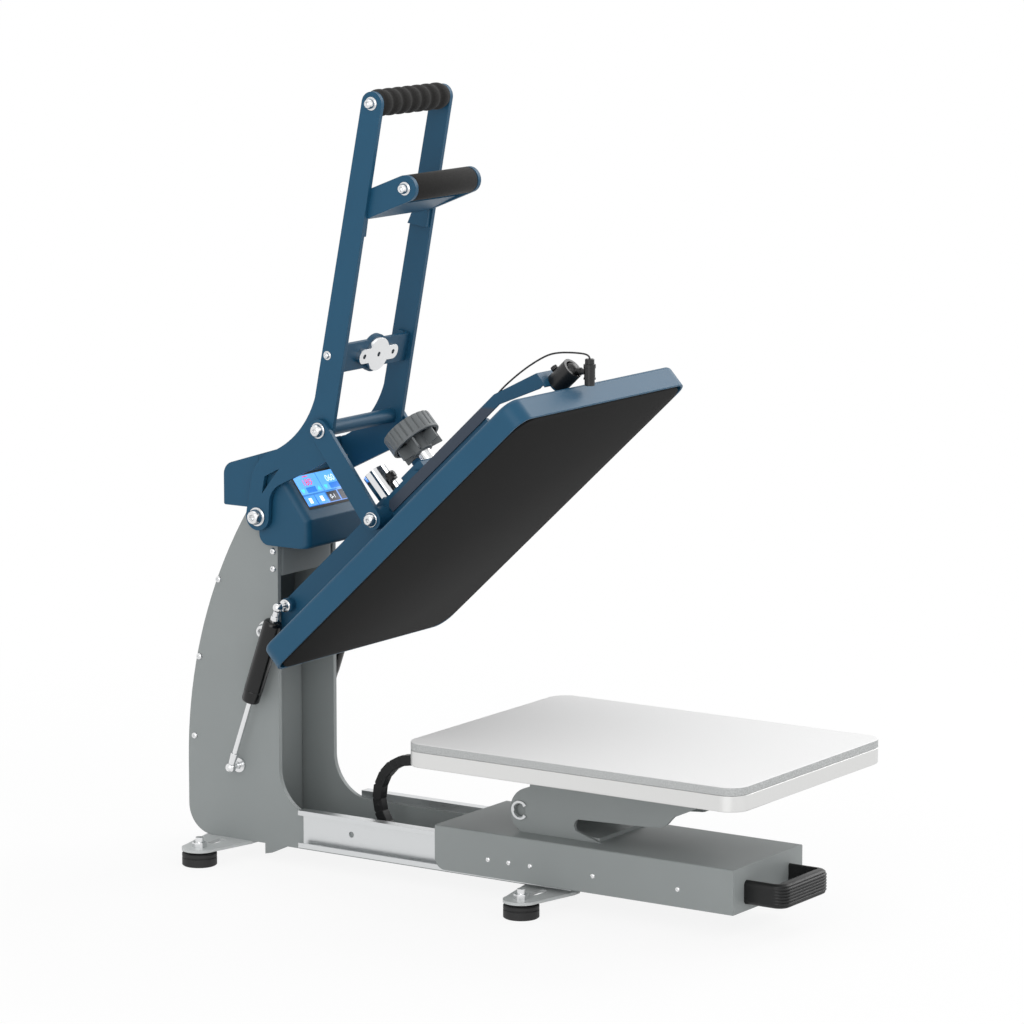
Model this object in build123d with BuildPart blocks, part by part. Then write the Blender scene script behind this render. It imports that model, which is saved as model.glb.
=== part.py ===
from build123d import *
import os
from math import asin, atan2, cos, degrees, hypot, pi, radians, sin, sqrt, tan

os.makedirs("parts", exist_ok=True)

# Flat heat press, clamshell head with a pull-out drawer, shown with the head open and the drawer out.
# Millimetres. +X is the operator's right, +Y the back of the press, +Z up, Z = 0 the table top.

# General clearances
running_gap = 0.1     # shaft in a hole, on the radius
side_gap = 0.3        # between faces that slide past each other
seat_gap = 0.2        # round a piece that drops into a recess

washer = 1.5          # thickness of a washer, and how far it stands out past its bolt head

# Lower platen and its pad
platen_width = 280
platen_depth = 380
platen_thickness = 16
platen_corner = 20
pad_thickness = 8
platen_y = -165.5     # middle of the lower platen with the drawer out

# Feet
foot_diameter = 35.5
foot_height = 13.5
foot_neck = 2
bracket_thickness = 3
foot_spread = 200     # between left and right feet
rear_foot_y = 304.5
front_foot_y = -87.5
foot_stud_diameter = 8

# Frame side plates
frame_width = 100
plate_thickness = 5
frame_bottom = foot_height + foot_neck + bracket_thickness
frame_back = 355.3
frame_front = 240
frame_top = 372
back_corner = 30
back_curve_start = 95
back_curve_radius = 491.8
throat_radius = 45
base_arm_top = 53
base_arm_front = -120.5
sheet = 3             # folded sheet between the side plates
web_y = 277.5         # front face of the folded web
web_top = 208

base_plate_rear = 315
upper_panel_height = 32
guard_y = 286
bracket_lap = 5       # how far a foot bracket reaches in under the side plate
bracket_root = 58
bracket_tip = 18
nut_width = 13
nut_height = 5
stud_rise = 10
plate_screw_diameter = 7
plate_screw_height = 2.4
plate_screw_places = ((245.5, 321.4), (245.5, 303.5), (314.5, 285.8), (340, 203.4), (347, 120))

# Handle pivot, head pivot and the pins of the links
handle_pivot = (256.1, 357.5)
head_pivot = (255.5, 239)
crank_pin = (175.9, 452.3)
link_pin_u = 193.0
link_pin_v = -2.6
head_angle = 42.9     # how far the head stands open
handle_swing = 76.85  # how far the handle turns when the head closes
handle_shaft_diameter = 16
head_shaft_diameter = 20
link_bolt_diameter = 10

# Handle
handle_gap = 114      # between the inner faces of the two handle arms
handle_plate = 5
arm_tip = (113.4, 779)
arm_tip_radius = 11.7
top_grip_diameter = 27
lower_grip_axis = (77.5, 697.5)
lower_grip_diameter = 26
grip_lobe_radius = 13
grip_rod_diameter = 10
link_plate = 5
link_width = 22
link_head_radius = 6.5
link_pin_head = 5.5
link_head_height = 6
link_seat = 2         # raised seat round each lower link pin on the head arm

handle_lobe = 14.1
arm_back_low = (183.7, 484.1)
arm_front_corner = (168.5, 421.4)
cross_tube_diameter = 15
grip_flange = 5
pivot_head_radius = 8
pivot_head_height = 8

# Head arm
arm_width = 88        # over the two arm plates
arm_plate = 5
arm_length = 355
arm_top = 10
arm_bottom = -33
arm_base_thickness = 5

block_length = 30
block_bottom = -10
block_top = 15
guide_x = 28
guide_u = 60
guide_diameter = 10

# Upper platen, in head coordinates: u runs from the head pivot to the front, v is square to the platen
housing_width = 298
housing_rear = 47.7
housing_depth = 405
housing_bottom = -68.4
housing_top = -42.5
housing_corner = 17
housing_rear_corner = 5
heater_corner = 24
housing_wall = 2.5
heater_thickness = 17
cover_drop = 2        # the cover lies this far below the wall's top edge
cover_sheet = 2

# Pressure screw and knob
screw_u = 247
screw_diameter = 14
knob_diameter = 53.8
knob_bottom = 43
knob_top = 62.5
knob_wall = 4
hub_diameter = 21
hub_bottom = 30

socket_ring = 24
socket_height = 9
post_top = -12
post_nut = 16
post_nut_height = 5
knob_ribs = 24
knob_spokes = 6
knob_rib = 3

# Electromagnet and armature
magnet_u = 185
magnet_diameter = 26
magnet_bottom = 14
magnet_top = 52
armature_diameter = 34
armature_thickness = 5
armature_gap = 0.3
armature_ear = 15
armature_length = 66
armature_hole = 5
armature_screw_x = 24.5
stand_length = 34
stand_sheet = 3
cross_plate_height = 29
cross_plate_thickness = 4
cross_flange = 14

# Laser sight
bracket_side_x = -44
bracket_sheet = 2
laser_x = -26
socket_base_u = 433
socket_length = 25
socket_diameter = 22
socket_wall = 3
socket_v = -26.8
socket_floor = 6
laser_ball_diameter = 15
laser_diameter = 12
laser_length = 26
lead_diameter = 1.8
clamp_u = 441
clamp_diameter = 14
clamp_thread = 4
# route of the lead after it leaves the barrel's top, as x, u and v of the head
lead_route = (
    (-27, 470.5, -17.6), (-28, 454, -4.2), (-29.5, 440, 1.7), (-31, 410, 7), (-34, 372, 7.7),
    (-35, 343, -4), (-35, 334, -16), (-35, 334, -27.9),
)
lead_rise = 4

# Gas springs
spring_x = 66
boss_length = 8
boss_diameter = 14.4
cylinder_start = 76   # from the lower ball to the bottom of the cylinder
cylinder_end = 167
rod_end = 140
lower_ball = (289.5, 96.4)
upper_ball_u = 39.5
upper_ball_v = 2.9
spring_diameter = 19.5
rod_diameter = 8
ball_diameter = 10
socket_width = 14
stud_flange = 15
stud_neck = 6

# Drawer
drawer_width = 130
drawer_rear = 38.5
drawer_front = -306.4
drawer_top = 69
drawer_bottom = 24.5
drawer_sheet = 2
rail_height = 38.5
rail_thickness = 11
rail_sheet = 1.6
rail_rear = 209
rail_mid_z = 41.7
bail_width = 90
bail_front = -351

# Pedestal
pedestal_width = 84
pedestal_plate = 4
pedestal_pin_y = -47.6
pedestal_pin_z = 90.4
pedestal_pin_diameter = 12
pedestal_foot_rear = -47.1
pedestal_foot_front = -142.4
pedestal_arm_front = -247.4
pedestal_arm_low = (-224.8, 105.5)
pedestal_web = 4      # thickness of the plates across the pedestal
ring_reach = 3.7      # how far a retaining ring stands out round the pin

# Control housing
pod_width = 110
pod_wall = 2.5
pod_front = 198.5
pod_bottom = 328
pod_split = 259
screen_angle = 52.9
screen_start = 16.5
screen_end = 52
pod_front_height = 357.5
pod_top = 426.8
pod_slope = 0.312
cover_back = 303
cover_bottom = 365
cover_shoulder = 396
plate_end_y = 284
bezel = 3
screen_depth = 6
inlet_x = -22
inlet_z = 382
inlet_width = 27
inlet_height = 20
inlet_depth = 16
switch_x = 20
switch_width = 13
switch_height = 19
screen_left = -40
screen_right = 42

bail_bottom = 31
bail_height = 24
bail_grip_depth = 12
bail_leg = 5.7
bail_corner = 10
bail_edge = 2.5
bail_ribs = 8
drawer_corner = 12
drawer_screw_z = 42
drawer_screw_ys = (-244.1, -147.2, -74.5, -49.3, -25)
drawer_screw_diameter = 5
inner_rail_height = 20
inner_rail_length = 300
rail_hole_y = 149.5

# Drag chain
chain_upper_end = 26
chain_width = 11
chain_height = 10.5
chain_pitch = 13.4
chain_low_z = 27.5
chain_high_z = 114
chain_bend_y = 107.4
chain_anchor_y = 64.5
chain_neck_out = 4.2  # from the chain's last link to the tab that holds it

# Worked-out places
platen_bottom = drawer_top + 75
platen_top = platen_bottom + platen_thickness
plate_out = frame_width / 2
plate_in = plate_out - plate_thickness
arm_out = arm_width / 2
arm_in = arm_out - arm_plate
handle_in = handle_gap / 2
handle_out = handle_in + handle_plate
link_in = handle_out + side_gap
link_out = link_in + link_plate
drawer_out = drawer_width / 2
drawer_in = drawer_out - drawer_sheet
pod_out = pod_width / 2
head_cos = cos(radians(head_angle))
head_sin = sin(radians(head_angle))


def head_point(x, u, v):
    """A point of the head, u towards its front edge and v square to the platen."""
    y = head_pivot[0] - u * head_cos + v * head_sin
    z = head_pivot[1] + u * head_sin + v * head_cos
    return (x, y, z)


def head_side(x):
    """Side view of the head: local x is u, local y is v, and it extrudes towards -X."""
    return Plane(origin=head_point(x, 0, 0), x_dir=(0, -head_cos, head_sin), z_dir=(-1, 0, 0))


def head_face(x, u, v):
    """Plane parallel to the platen: local x is X, local y is -u, and it extrudes along v."""
    return Plane(origin=head_point(x, u, v), x_dir=(1, 0, 0), z_dir=(0, head_sin, head_cos))


def head_end(x, u, v):
    """Plane across the head: local x is X, local y is v, and it extrudes along u."""
    return Plane(origin=head_point(x, u, v), x_dir=(1, 0, 0), z_dir=(0, -head_cos, head_sin))


def side_view(x):
    """Side view of the frame: local x is Y, local y is Z, and it extrudes towards +X."""
    return Plane.YZ.offset(x)


def turned(points, y, z):
    """Turn (x, radius) points about the X axis through (y, z), into the part being made."""
    with BuildSketch(Plane(origin=(0, y, z), x_dir=(1, 0, 0), z_dir=(0, -1, 0))) as profile:
        with BuildLine():
            Polyline(*points, close=True)
        make_face()
    revolve(profile.sketch, axis=Axis((0, y, z), (1, 0, 0)))


def turned_pair(points, y, z):
    """The same turned piece on the right and on the left."""
    for side in (-1, 1):
        turned([(side * x, radius) for x, radius in points], y, z)


def bolt_head(x, radius, height):
    """Points of a domed head on its washer, seated at x and standing out towards +X."""
    return [
        (x, 0), (x, radius + washer), (x + washer, radius + washer), (x + washer, radius),
        (x + washer + 0.6 * height, radius), (x + washer + height, 0.55 * radius), (x + washer + height, 0),
    ]


link_pin = head_point(0, link_pin_u, link_pin_v)[1:]
upper_ball = head_point(0, upper_ball_u, upper_ball_v)[1:]

# Frame: side plates
for side, name in ((-1, "left_side_plate"), (1, "right_side_plate")):
    inner_x = plate_in if side > 0 else -plate_out
    back_turn = degrees(asin((frame_top - back_curve_start) / back_curve_radius))
    with BuildPart() as side_plate:
        with BuildSketch(side_view(inner_x)):
            with BuildLine():
                bottom = Line((base_arm_front, frame_bottom), (frame_back - back_corner, frame_bottom))
                heel = JernArc(bottom @ 1, (1, 0), back_corner, 90)
                back = Line(heel @ 1, (frame_back, back_curve_start))
                curve = JernArc(back @ 1, (0, 1), back_curve_radius, back_turn)
                top = Line(curve @ 1, (frame_front + 8, frame_top))
                nose = Line(top @ 1, (frame_front, frame_top - 8))
                front = Line(nose @ 1, (frame_front, base_arm_top + throat_radius))
                throat = JernArc(front @ 1, (0, -1), throat_radius, -90)
                arm = Line(throat @ 1, (base_arm_front + 10, base_arm_top))
                toe = JernArc(arm @ 1, (-1, 0), 10, 90)
                Line(toe @ 1, bottom @ 0)
            make_face()
            with BuildLine():
                Polyline((258.5, frame_bottom), (258.5, 7.5), (250, 9.5), (230.5, frame_bottom), close=True)
            make_face()
            with Locations(handle_pivot):
                Circle(handle_shaft_diameter / 2, mode=Mode.SUBTRACT)
            with Locations(head_pivot):
                Circle(head_shaft_diameter / 2, mode=Mode.SUBTRACT)
        extrude(amount=plate_thickness)
    side_plate.part.label = name
    export_step(side_plate.part, f"parts/{name}.step")


def folded_panel(face_y, low_z, high_z, flange):
    """A sheet across the frame whose two sides fold back against the side plates."""
    with BuildPart() as panel:
        with BuildSketch(Plane.XY.offset(low_z)):
            with Locations((0, face_y + flange / 2)):
                Rectangle(2 * plate_in, flange)
            with Locations((0, face_y + sheet + flange / 2)):
                Rectangle(2 * (plate_in - sheet), flange, mode=Mode.SUBTRACT)
        extrude(amount=high_z - low_z)
        fillet(panel.edges().filter_by(Axis.Z).group_by(Axis.Y)[0], sheet * 2)
    return panel


front_web = folded_panel(web_y, frame_bottom + sheet, web_top, 40)
front_web.part.label = "front_web"
export_step(front_web.part, "parts/front_web.step")

upper_front_panel = folded_panel(frame_front, pod_bottom - upper_panel_height, pod_bottom, 14)
upper_front_panel.part.label = "upper_front_panel"
export_step(upper_front_panel.part, "parts/upper_front_panel.step")

pivot_guard = folded_panel(guard_y, web_top, pod_bottom - upper_panel_height, 20)
pivot_guard.part.label = "pivot_guard"
export_step(pivot_guard.part, "parts/pivot_guard.step")

with BuildPart() as base_plate:
    with BuildSketch(Plane.XY.offset(frame_bottom)):
        with Locations((0, (base_arm_front + base_plate_rear) / 2)):
            Rectangle(2 * plate_in, base_plate_rear - base_arm_front)
    extrude(amount=sheet)
base_plate.part.label = "base_plate"
export_step(base_plate.part, "parts/base_plate.step")

# Small button heads on the outside of both side plates
with BuildPart() as plate_screws:
    for side in (-1, 1):
        with BuildSketch(Plane.YZ.offset(side * plate_out)):
            with Locations(*plate_screw_places):
                Circle(plate_screw_diameter / 2)
        extrude(amount=side * plate_screw_height)
    heads = plate_screws.faces().filter_by(Axis.X)
    outer = heads.sort_by(Axis.X)
    count = len(plate_screw_places)
    chamfer((outer[:count] + outer[-count:]).edges(), plate_screw_height / 3)
plate_screws.part.label = "plate_screws"
export_step(plate_screws.part, "parts/plate_screws.step")

# Pivot shafts with a washer and a domed head at each end
with BuildPart() as handle_pivot_shaft:
    radius = handle_shaft_diameter / 2 - running_gap
    half = handle_out + side_gap
    turned([(-half, 0), (-half, radius), (half, radius), (half, 0)], *handle_pivot)
    turned_pair(bolt_head(half, pivot_head_radius, pivot_head_height), *handle_pivot)
handle_pivot_shaft.part.label = "handle_pivot_shaft"
export_step(handle_pivot_shaft.part, "parts/handle_pivot_shaft.step")

with BuildPart() as head_pivot_shaft:
    radius = head_shaft_diameter / 2 - running_gap
    turned([(-plate_out, 0), (-plate_out, radius), (plate_out, radius), (plate_out, 0)], *head_pivot)
    turned_pair(bolt_head(plate_out, pivot_head_radius, pivot_head_height), *head_pivot)
head_pivot_shaft.part.label = "head_pivot_shaft"
export_step(head_pivot_shaft.part, "parts/head_pivot_shaft.step")

# Lower studs of the gas springs: flange on the plate, neck and ball
neck_r = stud_neck / 2
ball_r = ball_diameter / 2
with BuildPart() as right_stud:
    with BuildSketch(Plane(origin=(0, *lower_ball), x_dir=(1, 0, 0), z_dir=(0, -1, 0))):
        with BuildLine():
            neck = Polyline(
                (plate_out, 0), (plate_out, stud_flange / 2), (plate_out + 3, stud_flange / 2),
                (plate_out + 3, neck_r + 1), (plate_out + 5, neck_r),
                (spring_x - sqrt(ball_r ** 2 - neck_r ** 2), neck_r),
            )
            ThreePointArc(neck @ 1, (spring_x, ball_r), (spring_x + ball_r, 0))
            Line((spring_x + ball_r, 0), (plate_out, 0))
        make_face()
    revolve(axis=Axis((0, *lower_ball), (1, 0, 0)))
with BuildPart() as spring_studs:
    add(right_stud.part)
    mirror(about=Plane.YZ)
spring_studs.part.label = "spring_studs"
export_step(spring_studs.part, "parts/spring_studs.step")

# Feet: a bracket under each corner of the frame, a rubber foot and its stud
foot_places = [(side * foot_spread / 2, y) for side in (-1, 1) for y in (front_foot_y, rear_foot_y)]
with BuildPart() as foot_brackets:
    for x, y in foot_places:
        side = 1 if x > 0 else -1
        root_x = side * (plate_in - bracket_lap)
        with BuildSketch(Plane.XY.offset(foot_height + foot_neck)):
            with BuildLine():
                Polyline(
                    (root_x, y - bracket_root / 2), (side * plate_out, y - bracket_root / 2),
                    (x, y - bracket_tip), (x, y + bracket_tip),
                    (side * plate_out, y + bracket_root / 2), (root_x, y + bracket_root / 2), close=True,
                )
            make_face()
            with Locations((x, y)):
                Circle(bracket_tip)
            with Locations((side * (plate_out + 20), y)):
                SlotOverall(24, 9, mode=Mode.SUBTRACT)
            with Locations((x, y)):
                Circle(foot_stud_diameter / 2, mode=Mode.SUBTRACT)
        extrude(amount=bracket_thickness)
foot_brackets.part.label = "foot_brackets"
export_step(foot_brackets.part, "parts/foot_brackets.step")

with BuildPart() as foot_studs:
    with BuildSketch(Plane.XY.offset(foot_height)):
        with Locations(*foot_places):
            Circle(foot_stud_diameter / 2 + 4)
    extrude(amount=foot_neck)
    with BuildSketch(Plane.XY.offset(foot_height)):
        with Locations(*foot_places):
            Circle(foot_stud_diameter / 2)
    extrude(amount=foot_neck + bracket_thickness + stud_rise)
    with BuildSketch(Plane.XY.offset(frame_bottom)):
        with Locations(*foot_places):
            RegularPolygon(nut_width / 2, 6, major_radius=False)
    extrude(amount=nut_height)
foot_studs.part.label = "foot_studs"
export_step(foot_studs.part, "parts/foot_studs.step")

with BuildPart() as rubber_feet:
    with BuildSketch(Plane.XY):
        with Locations(*foot_places):
            Circle(foot_diameter / 2)
    extrude(amount=foot_height)
    chamfer(rubber_feet.faces().group_by(Axis.Z)[-1].edges(), 1.5)
rubber_feet.part.label = "rubber_feet"
export_step(rubber_feet.part, "parts/rubber_feet.step")

# Fixed rails of the drawer slides: a C channel with its lips, screwed to the outside of the base arms
rail_front = base_arm_front + 2
with BuildPart() as fixed_rails:
    for side in (-1, 1):
        with BuildSketch(Plane.XZ.offset(-rail_rear)):
            web_x = side * (plate_out + rail_sheet / 2)
            lip_x = side * (plate_out + rail_thickness / 2)
            end_x = side * (plate_out + rail_thickness - rail_sheet / 2)
            with Locations((web_x, rail_mid_z)):
                Rectangle(rail_sheet, rail_height)
            with Locations(*[(lip_x, rail_mid_z + up * (rail_height - rail_sheet) / 2) for up in (-1, 1)]):
                Rectangle(rail_thickness, rail_sheet)
            with Locations(*[(end_x, rail_mid_z + up * (rail_height / 2 - 2.5)) for up in (-1, 1)]):
                Rectangle(rail_sheet, 5)
        extrude(amount=rail_rear - rail_front)
        with BuildSketch(Plane.YZ.offset(side * plate_out)):
            with Locations((rail_hole_y, rail_mid_z)):
                Circle(3)
        extrude(amount=side * rail_sheet, mode=Mode.SUBTRACT)
fixed_rails.part.label = "fixed_rails"
export_step(fixed_rails.part, "parts/fixed_rails.step")

# Inner rails: a narrower channel on each drawer wall, running between the lips
inner_web = drawer_in - rail_sheet
with BuildPart() as inner_rails:
    for side in (-1, 1):
        with BuildSketch(Plane.XZ.offset(-(drawer_rear - 2))):
            with Locations((side * (drawer_in - rail_sheet / 2), rail_mid_z)):
                Rectangle(rail_sheet, inner_rail_height)
            flange_x = (plate_out + rail_sheet + 2 + drawer_in) / 2
            flange_width = drawer_in - (plate_out + rail_sheet + 2)
            flange_z = (inner_rail_height - rail_sheet) / 2
            with Locations(*[(side * flange_x, rail_mid_z + up * flange_z) for up in (-1, 1)]):
                Rectangle(flange_width, rail_sheet)
        extrude(amount=inner_rail_length)
inner_rails.part.label = "inner_rails"
export_step(inner_rails.part, "parts/inner_rails.step")

# Drawer: a folded steel box, open below and at the back
drawer_middle = (drawer_rear + drawer_front) / 2
drawer_length = drawer_rear - drawer_front
with BuildPart() as drawer_box:
    with BuildSketch(Plane.XY.offset(drawer_bottom)):
        with Locations((0, drawer_middle)):
            Rectangle(drawer_width, drawer_length)
    extrude(amount=drawer_top - drawer_bottom)
    top_edges = drawer_box.faces().sort_by(Axis.Z)[-1].edges().filter_by(Axis.Y)
    fillet(top_edges, drawer_sheet)
    with BuildSketch(Plane.XY.offset(drawer_bottom)):
        with Locations((0, drawer_middle + drawer_sheet)):
            Rectangle(2 * drawer_in, drawer_length)
    extrude(amount=drawer_top - drawer_sheet - drawer_bottom, mode=Mode.SUBTRACT)
    rear_corner = drawer_box.edges().filter_by(Axis.X).group_by(Axis.Z)[0].filter_by_position(
        Axis.Y, drawer_rear - 0.1, drawer_rear + 0.1)
    fillet(rear_corner, drawer_corner)
drawer_box.part.label = "drawer_box"
export_step(drawer_box.part, "parts/drawer_box.step")

with BuildPart() as drawer_screws:
    for side in (-1, 1):
        with BuildSketch(Plane.YZ.offset(side * drawer_out)):
            with Locations(*[(y, drawer_screw_z) for y in drawer_screw_ys]):
                Circle(drawer_screw_diameter / 2)
        extrude(amount=side * 1.2)
drawer_screws.part.label = "drawer_screws"
export_step(drawer_screws.part, "parts/drawer_screws.step")

# Bail handle: a ribbed grip on two legs, screwed to the drawer's front wall
grip_back = bail_front + bail_grip_depth
with BuildPart() as drawer_handle:
    with BuildSketch(Plane.XY.offset(bail_bottom)) as bail_sketch:
        with Locations((0, (bail_front + drawer_front) / 2)):
            Rectangle(bail_width, drawer_front - bail_front)
        fillet(bail_sketch.vertices().group_by(Axis.Y)[0], bail_corner)
        with Locations((0, (grip_back + drawer_front) / 2)):
            RectangleRounded(bail_width - 2 * bail_leg, drawer_front - grip_back, 4, mode=Mode.SUBTRACT)
        with Locations((0, drawer_front - 3)):
            Rectangle(bail_width - 2 * bail_leg, 6.01, mode=Mode.SUBTRACT)
    extrude(amount=bail_height)
    faces = drawer_handle.faces().filter_by(Axis.Z)
    fillet(faces.edges().filter_by_position(Axis.Y, bail_front - 1, bail_front + 1), bail_edge)
    with BuildSketch(Plane.YZ):
        for k in range(bail_ribs):
            z = bail_bottom + bail_edge + (k + 0.5) * (bail_height - 2 * bail_edge) / bail_ribs
            with Locations((bail_front, z)):
                Circle(0.8)
    extrude(amount=bail_width / 2 - bail_corner - 2, both=True, mode=Mode.SUBTRACT)
drawer_handle.part.label = "drawer_handle"
export_step(drawer_handle.part, "parts/drawer_handle.step")

# Pedestal: two side plates on the drawer, and a channel under the platen that is pinned between them
crane_out = pedestal_width / 2
crane_in = crane_out - pedestal_plate
channel_out = crane_in - side_gap
channel_in = channel_out - pedestal_plate
crane_top = platen_bottom - seat_gap
with BuildPart() as pedestal_base:
    for x in (-crane_out, crane_in):
        with BuildSketch(side_view(x)):
            with BuildLine():
                heel = Polyline((-41.7, drawer_top + 4.8), (pedestal_foot_rear, drawer_top),
                                (pedestal_foot_front, drawer_top), (-113.3, 77.7))
                notch = ThreePointArc(heel @ 1, (-110.9, 83.4), (-115.6, 89.6))
                belly = Polyline(notch @ 1, (-191.8, 92.1), (-206, 93.4))
                chin = ThreePointArc(belly @ 1, (-214.4, 95.4), (-220, 100.4))
                Polyline(chin @ 1, pedestal_arm_low, (pedestal_arm_front, 115.7), (pedestal_arm_front, crane_top),
                         (-64, crane_top), (-58.9, 115.4), (-51.1, 112.4))
                ThreePointArc((-51.1, 112.4), (-36.6, 95.4), (-41.7, drawer_top + 4.8))
            make_face()
            with Locations((pedestal_pin_y, pedestal_pin_z)):
                Circle(pedestal_pin_diameter / 2 + running_gap, mode=Mode.SUBTRACT)
        extrude(amount=pedestal_plate)
    with BuildSketch(Plane.XY.offset(drawer_top)):
        with Locations((0, (pedestal_foot_rear + pedestal_foot_front) / 2)):
            Rectangle(2 * crane_in, pedestal_foot_rear - pedestal_foot_front - 2 * pedestal_web)
    extrude(amount=pedestal_web)
pedestal_base.part.label = "pedestal_base"
export_step(pedestal_base.part, "parts/pedestal_base.step")

lobe = pedestal_pin_diameter
channel_rear = pedestal_pin_y + lobe
channel_front = pedestal_arm_front + side_gap
with BuildPart() as platen_arm:
    for x in (-channel_out, channel_in):
        with BuildSketch(side_view(x)):
            with BuildLine():
                Polyline(
                    (channel_rear, pedestal_pin_z), (channel_rear, platen_bottom), (channel_front, platen_bottom),
                    (channel_front, 120), (-215, 104), (-75, 104), (pedestal_pin_y - lobe, pedestal_pin_z),
                    close=True,
                )
            make_face()
            with Locations((pedestal_pin_y, pedestal_pin_z)):
                Circle(lobe)
                Circle(pedestal_pin_diameter / 2 + running_gap, mode=Mode.SUBTRACT)
        extrude(amount=pedestal_plate)
    with BuildSketch(Plane.XY.offset(platen_bottom)):
        with Locations((0, (channel_rear + channel_front) / 2)):
            Rectangle(2 * channel_in, channel_rear - channel_front)
    extrude(amount=-pedestal_web)
    # tongue to the rear with a tab that holds the moving end of the drag chain
    tab_y = chain_upper_end - chain_neck_out
    with BuildSketch(Plane.XY.offset(platen_bottom)):
        with Locations((0, (channel_rear + tab_y) / 2)):
            Rectangle(chain_width + 8, tab_y - channel_rear)
    extrude(amount=-pedestal_web)
    with BuildSketch(Plane.XZ.offset(-tab_y)):
        with Locations((0, (chain_high_z - chain_height / 2 + platen_bottom) / 2)):
            Rectangle(chain_width, platen_bottom - chain_high_z + chain_height / 2)
    extrude(amount=sheet)
platen_arm.part.label = "platen_arm"
export_step(platen_arm.part, "parts/platen_arm.step")

pin_r = pedestal_pin_diameter / 2
pin_end = crane_out + 5
ring_in = crane_out + seat_gap
ring_out = ring_in + washer
pin_points = [
    (-pin_end, 0), (-pin_end, pin_r), (-ring_out, pin_r), (-ring_out, pin_r + ring_reach),
    (-ring_in, pin_r + ring_reach), (-ring_in, pin_r), (ring_in, pin_r), (ring_in, pin_r + ring_reach),
    (ring_out, pin_r + ring_reach), (ring_out, pin_r), (pin_end, pin_r), (pin_end, 0),
]
with BuildPart() as pedestal_pin:
    turned(pin_points, pedestal_pin_y, pedestal_pin_z)
pedestal_pin.part.label = "pedestal_pin"
export_step(pedestal_pin.part, "parts/pedestal_pin.step")

# Lower platen and pad
with BuildPart() as lower_platen:
    with BuildSketch(Plane.XY.offset(platen_bottom)):
        with Locations((0, platen_y)):
            RectangleRounded(platen_width, platen_depth, platen_corner)
    extrude(amount=platen_thickness)
    chamfer(lower_platen.faces().filter_by(Axis.Z).edges(), 0.8)
lower_platen.part.label = "lower_platen"
export_step(lower_platen.part, "parts/lower_platen.step")

with BuildPart() as silicone_pad:
    with BuildSketch(Plane.XY.offset(platen_top)):
        with Locations((0, platen_y)):
            RectangleRounded(platen_width, platen_depth, platen_corner)
    extrude(amount=pad_thickness)
silicone_pad.part.label = "silicone_pad"
export_step(silicone_pad.part, "parts/silicone_pad.step")

# Drag chain: links along the lower leg, round the bend and back along the upper leg
chain_radius = (chain_high_z - chain_low_z) / 2
chain_mid_z = (chain_high_z + chain_low_z) / 2


def chain_frame(distance):
    """Place and direction of the chain at a distance from its fixed end, as y, z and angle."""
    low_leg = chain_bend_y - chain_anchor_y
    bend = pi * chain_radius
    if distance < low_leg:
        return chain_anchor_y + distance, chain_low_z, 0
    if distance < low_leg + bend:
        turn = (distance - low_leg) / chain_radius
        y = chain_bend_y + chain_radius * sin(turn)
        return y, chain_mid_z - chain_radius * cos(turn), degrees(turn)
    return chain_bend_y - (distance - low_leg - bend), chain_high_z, 180


chain_length = (chain_bend_y - chain_anchor_y) + pi * chain_radius + (chain_bend_y - chain_upper_end)
chain_links = round(chain_length / chain_pitch)
with BuildPart() as drag_chain:
    for k in range(chain_links):
        y, z, angle = chain_frame((k + 0.5) * chain_length / chain_links)
        link_plane = Plane(origin=(0, y, z), x_dir=(0, cos(radians(angle)), sin(radians(angle))), z_dir=(1, 0, 0))
        with BuildSketch(link_plane):
            Rectangle(chain_pitch - 1.5, chain_height)
        extrude(amount=chain_width / 2, both=True)
        with BuildSketch(link_plane):
            SlotOverall(chain_pitch + 8, chain_height - 5)
        extrude(amount=chain_width / 2 - 2, both=True)
drag_chain.part.label = "drag_chain"
export_step(drag_chain.part, "parts/drag_chain.step")

# Bracket at the chain's fixed end
with BuildPart() as chain_anchor:
    with BuildSketch(Plane.XY.offset(frame_bottom + sheet)):
        with Locations((0, chain_anchor_y - 16)):
            Rectangle(chain_width + 8, 28)
    extrude(amount=sheet - 1)
    with BuildSketch(Plane.XZ.offset(-(chain_anchor_y - chain_neck_out))):
        with Locations((0, (chain_low_z + 5 + frame_bottom + sheet) / 2)):
            Rectangle(chain_width, chain_low_z + 5 - frame_bottom - sheet)
    extrude(amount=2)
chain_anchor.part.label = "chain_anchor"
export_step(chain_anchor.part, "parts/chain_anchor.step")

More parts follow.
